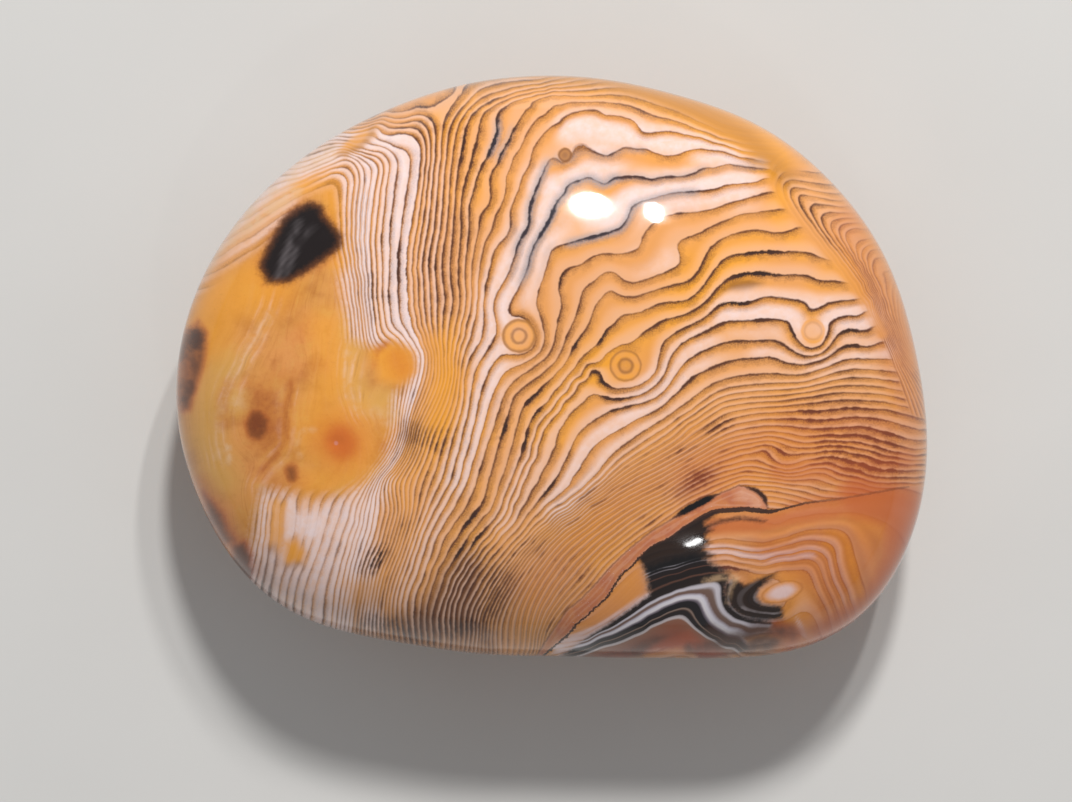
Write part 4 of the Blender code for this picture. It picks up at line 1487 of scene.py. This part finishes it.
@dataclass
class PebbleTree:
    """The geometry nodes that draw a square grid out into each half of the pebble.

    Attributes:
        material: The stone's material.
        recipe: The tree.
        inputs: The identifier of each named input.
        start: The node that gives the inputs.
    """

    material: bpy.types.Material
    recipe: Recipe = field(init=False)
    inputs: dict[str, str] = field(init=False)
    start: bpy.types.Node = field(init=False)

    SIZES: ClassVar[dict[str, str]] = {
        "Grid Points": "NodeSocketInt",
        "Outline Points": "NodeSocketInt",
        "Waist Height": "NodeSocketFloat",
        "Dome Height": "NodeSocketFloat",
        "Underside Depth": "NodeSocketFloat",
        "Dome Exponent": "NodeSocketFloat",
        "Underside Exponent": "NodeSocketFloat",
        "Ring Spread": "NodeSocketFloat",
        "Dome Lean": "NodeSocketVector",
        "Merge Distance": "NodeSocketFloat",
    }
    # The parts of the baking map that the two halves take
    COLUMNS: ClassVar[Point] = (0.002, 0.998)
    DOME_ROWS: ClassVar[Point] = (0.22, 0.998)
    UNDERSIDE_ROWS: ClassVar[Point] = (0.002, 0.212)

    def __post_init__(self) -> None:
        """Write the whole tree."""
        tree = bpy.data.node_groups.new("pebble_halves", "GeometryNodeTree")
        tree.interface.new_socket("Outline", in_out="INPUT", socket_type="NodeSocketGeometry")
        self.inputs = {}
        for name, kind in self.SIZES.items():
            socket = tree.interface.new_socket(name, in_out="INPUT", socket_type=kind)
            self.inputs[name] = socket.identifier
        tree.interface.new_socket("Pebble", in_out="OUTPUT", socket_type="NodeSocketGeometry")
        self.recipe = Recipe(tree)
        self.start = self.recipe.node("NodeGroupInput")
        join = self.recipe.node("GeometryNodeJoinGeometry")
        for dome in (True, False):
            tree.links.new(self.half(dome), join.inputs[0])
        merge = self.recipe.node("GeometryNodeMergeByDistance", join.outputs[0])
        self.recipe.feed(merge.inputs["Distance"], self.size("Merge Distance"))
        smooth = self.recipe.node("GeometryNodeSetShadeSmooth", merge.outputs[0])
        real = self.recipe.node("GeometryNodeRealizeInstances", smooth.outputs[0])
        dressed = self.recipe.node("GeometryNodeSetMaterial", real.outputs[0])
        dressed.inputs["Material"].default_value = self.material
        self.recipe.node("NodeGroupOutput", dressed.outputs[0])

    def size(self, name: str) -> bpy.types.NodeSocket:
        """Return the group input of that name."""
        return self.start.outputs[name]

    def disc_place(self) -> tuple[Any, Any, Any, Any, Any]:
        """Draw the square grid into a disc, ring by ring.

        Returns:
            The grid's own x and y, the ring's share of the radius, and the disc's u and v.
        """
        r = self.recipe
        x, y, _ = r.parts(r.node("GeometryNodeInputPosition").outputs[0])
        flat = r.times(r.sum("DIVIDE", y, x), math.pi / 4)
        steep = r.times(r.sum("DIVIDE", x, y), math.pi / 4)
        size_x, size_y = r.sum("ABSOLUTE", x), r.sum("ABSOLUTE", y)
        is_steep = r.sum("GREATER_THAN", size_y, size_x)
        u_flat = r.times(x, r.sum("COSINE", flat))
        u_steep = r.times(y, r.sum("SINE", steep))
        u = r.node("ShaderNodeMix", is_steep, None, u_flat, u_steep).outputs[0]
        v_flat = r.times(x, r.sum("SINE", flat))
        v_steep = r.times(y, r.sum("COSINE", steep))
        v = r.node("ShaderNodeMix", is_steep, None, v_flat, v_steep).outputs[0]
        return x, y, r.sum("MAXIMUM", size_x, size_y), u, v

    def waist_reach(self, u: Any, v: Any) -> tuple[Any, Any]:
        """Read the outline's radius in the direction of u and v.

        Args:
            u: How far the disc's point is along X.
            v: How far it is along Y.

        Returns:
            The radius and the angle.
        """
        r = self.recipe
        angle = r.sum("ARCTAN2", v, u)
        count = self.size("Outline Points")
        turn = r.sum("FRACT", r.plus(r.sum("DIVIDE", angle, 2 * math.pi), 1.0))
        place = r.times(turn, count)
        before = r.sum("FLOOR", place)
        readings = []
        for index in (before, r.sum("MODULO", r.plus(before, 1.0), count)):
            name = r.node("GeometryNodeInputNamedAttribute", "reach", data_type="FLOAT")
            sample = r.node("GeometryNodeSampleIndex", self.size("Outline"), data_type="FLOAT")
            r.feed(sample.inputs["Value"], name.outputs[0])
            r.feed(sample.inputs["Index"], index)
            readings.append(sample.outputs[0])
        reach = r.node("ShaderNodeMix", r.sum("FRACT", place), None, *readings).outputs[0]
        return reach, angle

    def half(self, dome: bool) -> bpy.types.NodeSocket:
        """Make the dome or the underside.

        Args:
            dome: Whether it is the dome.

        Returns:
            The half's geometry.
        """
        r = self.recipe
        count = self.size("Grid Points")
        grid = r.node("GeometryNodeMeshGrid", 2.0, 2.0, count, count)
        x, y, ring, u, v = self.disc_place()
        reach, angle = self.waist_reach(u, v)
        power = r.sum("DIVIDE", 2.0, self.size("Dome Exponent" if dome else "Underside Exponent"))
        slope = r.times(r.sum("POWER", ring, self.size("Ring Spread")), math.pi / 2)
        out = r.sum("POWER", r.sum("SINE", slope), power)
        up = r.sum("POWER", r.sum("MAXIMUM", r.sum("COSINE", slope), 0.0), power)
        up = r.times(up, r.sum("LESS_THAN", ring, 0.99999))
        radius = r.times(reach, out)
        across = r.times(radius, r.sum("COSINE", angle))
        along = r.times(radius, r.sum("SINE", angle))
        height = self.size("Dome Height") if dome else r.times(self.size("Underside Depth"), -1.0)
        rise = r.plus(self.size("Waist Height"), r.times(height, up))
        place = r.vector(across, along, r.sum("MAXIMUM", rise, 0.0))
        if dome:
            lean = r.node("ShaderNodeVectorMath", self.size("Dome Lean"), operation="SCALE")
            r.feed(lean.inputs["Scale"], r.times(up, up))
            lean = r.node("ShaderNodeVectorMath", place, lean.outputs[0], operation="ADD")
            place = lean.outputs[0]
        low, high = self.DOME_ROWS if dome else self.UNDERSIDE_ROWS
        across_map = r.node("ShaderNodeMapRange", x, -1.0, 1.0, *self.COLUMNS).outputs[0]
        along_map = r.node("ShaderNodeMapRange", y, -1.0, 1.0, low, high).outputs[0]
        unwrap = r.node("GeometryNodeStoreNamedAttribute", grid.outputs[0],
                        data_type="FLOAT2", domain="CORNER")
        r.feed(unwrap.inputs["Name"], "OFBake")
        r.feed(unwrap.inputs["Value"], r.vector(across_map, along_map, 0.0))
        moved = r.node("GeometryNodeSetPosition", unwrap.outputs[0])
        r.feed(moved.inputs["Position"], place)
        if dome:
            return moved.outputs[0]
        return r.node("GeometryNodeFlipFaces", moved.outputs[0]).outputs[0]


@dataclass
class Pebble:
    """The polished pebble.

    Attributes:
        low: The lowest corner of its box, in metres.
        high: The highest corner of its box, in metres.
        view: How the photograph was taken.
        finish: The stone's finish.
        waist_height: The height of its widest level, in metres.
        underside_depth: How far the underside would bulge below that, before the floor cuts it flat.
        dome_lean: How far the top leans over the waist's middle, in metres.
        dome_exponent: How full the dome's shoulders are. 2 is an ellipse.
        underside_exponent: How full the underside's are.
        waist_radii: The outline's radii at equal turns from +X, in metres.
        outline_points: The smooth outline's points.
        grid_points: The points along each side of a half's square grid.
        ring_spread: How much closer the grid's rings lie near the middle.
        merge_distance: How near points are joined where the halves meet, in metres.
        side_lean: How far the bands lean across the photo for each pixel of depth on the sides.
        side_sway: How far they sway there.
        sway_lengths: How long that sway's waves are along X and Y, in pixels for each radian.
        sway_starts: Where those waves start, in radians.
        side_fade: The depths over which marks grow faint on the sides, in pixels.
        faint_marks: How strong they still are below that.
    """

    low: Vector
    high: Vector
    view: PhotoView = PhotoView()
    finish: AgateFinish = AgateFinish()
    waist_height: float = 0.0108
    underside_depth: float = 0.0113
    dome_lean: tuple[float, float, float] = (0.0006, -0.0012, 0.0)
    dome_exponent: float = 2.5
    underside_exponent: float = 2.2
    waist_radii: tuple[float, ...] = (
        0.0303, 0.0292, 0.0280, 0.0267, 0.0252, 0.0243,
        0.0241, 0.0244, 0.0251, 0.0264, 0.0281, 0.0298,
        0.0310, 0.0313, 0.0309, 0.0292, 0.0262, 0.0245,
        0.0239, 0.0249, 0.0278, 0.0318, 0.0330, 0.0320,
    )
    outline_points: int = 720
    grid_points: int = 221
    ring_spread: float = 1.4
    merge_distance: float = 1e-5
    side_lean: Point = (0.55, -0.35)
    side_sway: float = 0.18
    sway_lengths: Point = (90.0, 70.0)
    sway_starts: Point = (1.3, -0.4)
    side_fade: Point = (60.0, 10.0)
    faint_marks: float = 0.15

    def waist_outline(self) -> bpy.types.Object:
        """Make the smooth outline through the waist's radii, as a ring of points.

        Returns:
            The ring, with each point's radius as an attribute.
        """
        harmonics = np.fft.rfft(self.waist_radii)
        harmonics[-1] /= 2
        fine = np.zeros(self.outline_points // 2 + 1, complex)
        fine[:len(harmonics)] = harmonics
        reach = np.fft.irfft(fine, self.outline_points)
        reach = reach * self.outline_points / len(self.waist_radii)
        angles = np.arange(self.outline_points) * 2 * math.pi / self.outline_points
        places = np.column_stack([reach * np.cos(angles), reach * np.sin(angles),
                                  np.full(self.outline_points, self.waist_height)])
        edges = [(i, (i + 1) % self.outline_points) for i in range(self.outline_points)]
        mesh = bpy.data.meshes.new("waist_outline")
        mesh.from_pydata(places.tolist(), edges, [])
        mesh.attributes.new("reach", "FLOAT", "POINT").data.foreach_set("value", reach)
        outline = bpy.data.objects.new("waist_outline", mesh)
        bpy.context.scene.collection.objects.link(outline)
        return outline

    def shape(self, material: bpy.types.Material) -> bpy.types.Object:
        """Draw the pebble out of its waist outline and give its plain mesh.

        Args:
            material: The stone's material.

        Returns:
            The pebble, with its box where the CAD one's is.
        """
        outline = self.waist_outline()
        tree = PebbleTree(material)
        modifier = outline.modifiers.new("halves", "NODES")
        modifier.node_group = tree.recipe.tree
        sizes = {
            "Grid Points": self.grid_points,
            "Outline Points": self.outline_points,
            "Waist Height": self.waist_height,
            "Dome Height": self.high.z - self.waist_height,
            "Underside Depth": self.underside_depth,
            "Dome Exponent": self.dome_exponent,
            "Underside Exponent": self.underside_exponent,
            "Ring Spread": self.ring_spread,
            "Dome Lean": self.dome_lean,
            "Merge Distance": self.merge_distance,
        }
        for name, value in sizes.items():
            modifier[tree.inputs[name]] = value
        bpy.context.view_layer.update()
        evaluated = outline.evaluated_get(bpy.context.evaluated_depsgraph_get())
        mesh = bpy.data.meshes.new_from_object(evaluated)
        bpy.data.objects.remove(outline, do_unlink=True)
        mesh.name = PIECE_NAME
        places = self.places(mesh)
        middle = (places.min(0) + places.max(0)) / 2
        wanted = (np.array(self.low) + np.array(self.high)) / 2
        places[:, :2] += (wanted - middle)[:2]
        self.put(mesh, places)
        pebble = bpy.data.objects.new(PIECE_NAME, mesh)
        bpy.context.scene.collection.objects.link(pebble)
        return pebble

    @staticmethod
    def places(mesh: bpy.types.Mesh) -> np.ndarray:
        """Return the mesh's points as rows of X, Y and Z."""
        flat = np.empty(len(mesh.vertices) * 3)
        mesh.vertices.foreach_get("co", flat)
        return flat.reshape(-1, 3)

    @staticmethod
    def put(mesh: bpy.types.Mesh, places: np.ndarray) -> None:
        """Move the mesh's points."""
        mesh.vertices.foreach_set("co", places.ravel())
        mesh.update()

    def wear(self, mesh: bpy.types.Mesh) -> None:
        """Press the pits into the surface."""
        places = self.places(mesh)
        pixels = self.view.pixels(places)
        normals = np.empty(len(places) * 3)
        mesh.vertex_normals.foreach_get("vector", normals)
        normals = normals.reshape(-1, 3)
        seen = smoothstep(0.0, 0.2, normals[:, 2])
        depth = np.zeros(len(places))
        for pit in PITS:
            distance = np.hypot(*(pixels - pit.centre).T) / self.view.scale
            depth += pit.depth * np.exp(-(distance / pit.reach) ** 2)
        places -= normals * (depth * seen)[:, None]
        self.put(mesh, places)

    @staticmethod
    def line_width(pixels: np.ndarray, line: Line, thick_part: Line, thin: float, thick: float,
                   ) -> np.ndarray:
        """Return a line's half width near it, and 0 away from it.

        Args:
            pixels: Rows of pixels.
            line: The whole line.
            thick_part: The part where it is thick.
            thin: Its usual half width, in pixels.
            thick: What its half width grows by there, in pixels.

        Returns:
            The half widths, in pixels.
        """
        away, _ = stroke_reading(pixels, line)
        near, along = stroke_reading(pixels, thick_part)
        taper = smoothstep(0.0, 0.35, along) * smoothstep(1.0, 0.75, along)
        return smoothstep(12.0, 7.0, away) * (thin + thick * taper * smoothstep(10.0, 6.0, near))

    def paint(self, mesh: bpy.types.Mesh) -> None:
        """Write the bands, edges and marks into the mesh as attributes.

        Args:
            mesh: The pebble's mesh.
        """
        places = self.places(mesh)
        pixels = self.view.pixels(places)
        below = np.maximum(self.waist_height - places[:, 2], 0.0) * self.view.scale
        sway = np.sin(pixels / self.sway_lengths + self.sway_starts).sum(-1)
        pixels = pixels + below[:, None] * (np.array(self.side_lean) + self.side_sway * sway[:, None])
        seen = smoothstep(*self.side_fade, below)
        attributes: dict[str, np.ndarray] = {"seen": seen}
        fields = {
            Bands.MAIN: MAIN_GUIDES,
            Bands.CRESCENT: CRESCENT_GUIDES,
            Bands.CHEVRON: CHEVRON_GUIDES,
            Bands.HONEY: HONEY_GUIDES,
        }
        for bands, guides in fields.items():
            levels, spacing = BandField(guides).read(pixels)
            attributes[f"{bands.value}_level"] = levels
            attributes[f"{bands.value}_spacing"] = spacing
        zones = {
            Edge.CRESCENT: CRESCENT_ZONE,
            Edge.HONEY: HONEY_ZONE,
            Edge.LOWER: LOWER_ZONE,
            Edge.VEIN: VEIN_ZONE,
        }
        for edge, zone in zones.items():
            attributes[edge.value] = zone_depth(pixels, zone)
        attributes["crack"] = seen * self.line_width(pixels, SEAM_LINE, THICK_SEAM, thin=1.1, thick=1.4)
        rim = self.line_width(pixels, VEIN_LINE, THICK_RIM, thin=0.9, thick=3.0)
        hook = self.line_width(pixels, VEIN_LINE, THICK_HOOK, thin=0.9, thick=1.8)
        attributes["rim"] = seen * np.maximum(rim, hook)
        for tint in Tint:
            attributes[tint.value] = np.zeros(len(pixels))
        fade = self.faint_marks + (1.0 - self.faint_marks) * seen
        for mark in all_marks():
            strengths = attributes[mark.tint.value]
            attributes[mark.tint.value] = np.maximum(strengths, mark.strengths(pixels) * fade)
        for name, values in attributes.items():
            written = mesh.attributes.new(name, "FLOAT", "POINT")
            written.data.foreach_set("value", values.astype(np.float32))
        place = np.column_stack([pixels, below]).astype(np.float32)
        written = mesh.attributes.new("photo_place", "FLOAT_VECTOR", "POINT")
        written.data.foreach_set("vector", place.ravel())

    def build(self) -> bpy.types.Object:
        """Make, wear and paint the pebble, and put it in the frame.

        Returns:
            The finished piece.
        """
        material = self.finish.material()
        pebble = self.shape(material)
        self.wear(pebble.data)
        self.paint(pebble.data)
        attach(pebble, BODY)
        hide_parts(PEBBLE_NODE)
        return pebble


@dataclass(frozen=True)
class Highlight:
    """A lamp whose reflection shows as an oval in the photograph.

    Attributes:
        pixel: The oval's middle.
        long: The oval's half length, in pixels.
        short: The oval's half width, in pixels.
        turn: The angle of its length above the picture's right, in degrees.
        power: The lamp's power, in watts.
        distance: How far the lamp is from the stone, in metres.
    """

    pixel: Point
    long: float
    short: float
    turn: float
    power: float
    distance: float = 0.55


@dataclass
class Studio:
    """The pale floor, the soft light and the lamps that the polish mirrors.

    Attributes:
        view: How the photograph was taken.
        pebble: The finished pebble.
        floor_size: The length of the floor's sides, in metres.
        floor_drop: How far the floor is below the stone, in metres.
        floor_colours: The two colours that the floor is mottled with.
        highlights: The lamps' reflections.
        reading_step: How far from a highlight's middle the polish's bend is read, in pixels.
        room_colour: The colour of the light from all round.
        room_light: Its strength.
    """

    view: PhotoView
    pebble: bpy.types.Object
    floor_size: float = 3.0
    floor_drop: float = 0.0002
    floor_colours: tuple[tuple, tuple] = (linear(202, 200, 196), linear(210, 208, 204))
    highlights: tuple[Highlight, ...] = (
        Highlight((590, 205), 17.0, 11.0, 0.0, 2.05),
        Highlight((655, 213), 9.0, 6.5, 90.0, 0.80),
        Highlight((693, 543), 8.5, 1.8, 27.0, 0.07),
    )
    reading_step: float = 16.0
    room_colour: tuple = linear(236, 238, 242)
    room_light: float = 0.40

    def make_floor(self) -> None:
        """Lay the plain pale floor."""
        bpy.ops.mesh.primitive_plane_add(size=self.floor_size, location=(0, 0, -self.floor_drop))
        floor = bpy.context.object
        floor.name = "floor"
        material = bpy.data.materials.new("pale_floor")
        material.use_nodes = True
        shader = material.node_tree.nodes["Principled BSDF"]
        recipe = Recipe(material.node_tree)
        place = recipe.node("ShaderNodeTexCoord").outputs["Object"]
        mottle = recipe.noise(place, 40.0, 4.0)
        recipe.feed(shader.inputs["Base Color"], recipe.mix(mottle, *self.floor_colours))
        shader.inputs["Roughness"].default_value = 0.8
        floor.data.materials.append(material)

    def mirrored(self, tree: BVHTree, pixel: Point) -> tuple[Vector, Vector]:
        """Follow the view of a pixel to the stone and on from its polish.

        Args:
            tree: The stone's surface.
            pixel: The pixel of the photograph.

        Returns:
            The point of the stone, and the direction that it mirrors.
        """
        ray = self.view.ray(pixel)
        point, normal, _, _ = tree.ray_cast(self.view.place, ray)
        return point, ray.reflect(normal)

    def make_lamp(self, name: str, tree: BVHTree, highlight: Highlight) -> None:
        """Stand the oval lamp that the stone mirrors as one highlight.

        Args:
            name: The lamp's name.
            tree: The stone's surface.
            highlight: The highlight.
        """
        point, way = self.mirrored(tree, highlight.pixel)
        place = point + way * highlight.distance
        facing = way.to_track_quat("Z", "Y")
        spread = np.zeros((2, 2))
        for axis, step in enumerate(((self.reading_step, 0.0), (0.0, self.reading_step))):
            for sign in (1, -1):
                near = (highlight.pixel[0] + sign * step[0], highlight.pixel[1] + sign * step[1])
                start, ray = self.mirrored(tree, near)
                end = start + ray * ((place - start).dot(way) / ray.dot(way))
                offset = facing.inverted() @ (end - place)
                spread[:, axis] += sign * np.array(offset.xy) / (2 * self.reading_step)
        turn = math.radians(highlight.turn)
        long = spread @ np.array([math.cos(turn), -math.sin(turn)]) * highlight.long
        short = spread @ np.array([math.sin(turn), math.cos(turn)]) * highlight.short
        axes, halves, _ = np.linalg.svd(np.column_stack([long, short]))
        spin = Quaternion((0.0, 0.0, 1.0), math.atan2(axes[1, 0], axes[0, 0]))
        data = bpy.data.lights.new(name, "AREA")
        data.shape = "ELLIPSE"
        data.size, data.size_y = 2 * halves
        data.energy = highlight.power
        lamp = bpy.data.objects.new(name, data)
        lamp.location = place
        lamp.rotation_euler = (facing @ spin).to_euler()
        bpy.context.scene.collection.objects.link(lamp)
        LOG.info("%s: %.0f by %.0f mm", name, *(halves * 2000))

    def make_lights(self) -> None:
        """Place the mirrored lamps and the room's soft light."""
        mesh = self.pebble.data
        tree = BVHTree.FromPolygons([v.co for v in mesh.vertices], [p.vertices for p in mesh.polygons])
        for number, highlight in enumerate(self.highlights, 1):
            self.make_lamp(f"lamp_{number}", tree, highlight)
        world = bpy.data.worlds.new("soft_room")
        world.use_nodes = True
        background = world.node_tree.nodes["Background"]
        background.inputs["Color"].default_value = self.room_colour
        background.inputs["Strength"].default_value = self.room_light
        bpy.context.scene.world = world
        bpy.context.scene.view_settings.view_transform = "Standard"

    def build(self) -> None:
        """Set up the whole studio."""
        self.view.make_camera()
        self.make_floor()
        self.make_lights()


def main() -> None:
    """Build the pebble and its studio."""
    logging.basicConfig(level=logging.INFO, format="%(message)s")
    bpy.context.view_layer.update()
    low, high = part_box(PEBBLE_NODE)
    pebble = Pebble(low, high)
    piece = pebble.build()
    mesh = piece.data
    LOG.info("%s: %d faces, %d attributes", piece.name, len(mesh.polygons), len(mesh.attributes))
    Studio(pebble.view, piece).build()
    LOG.info("studio: camera, floor and lamps")
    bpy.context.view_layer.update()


if __name__ == "__main__":
    main()
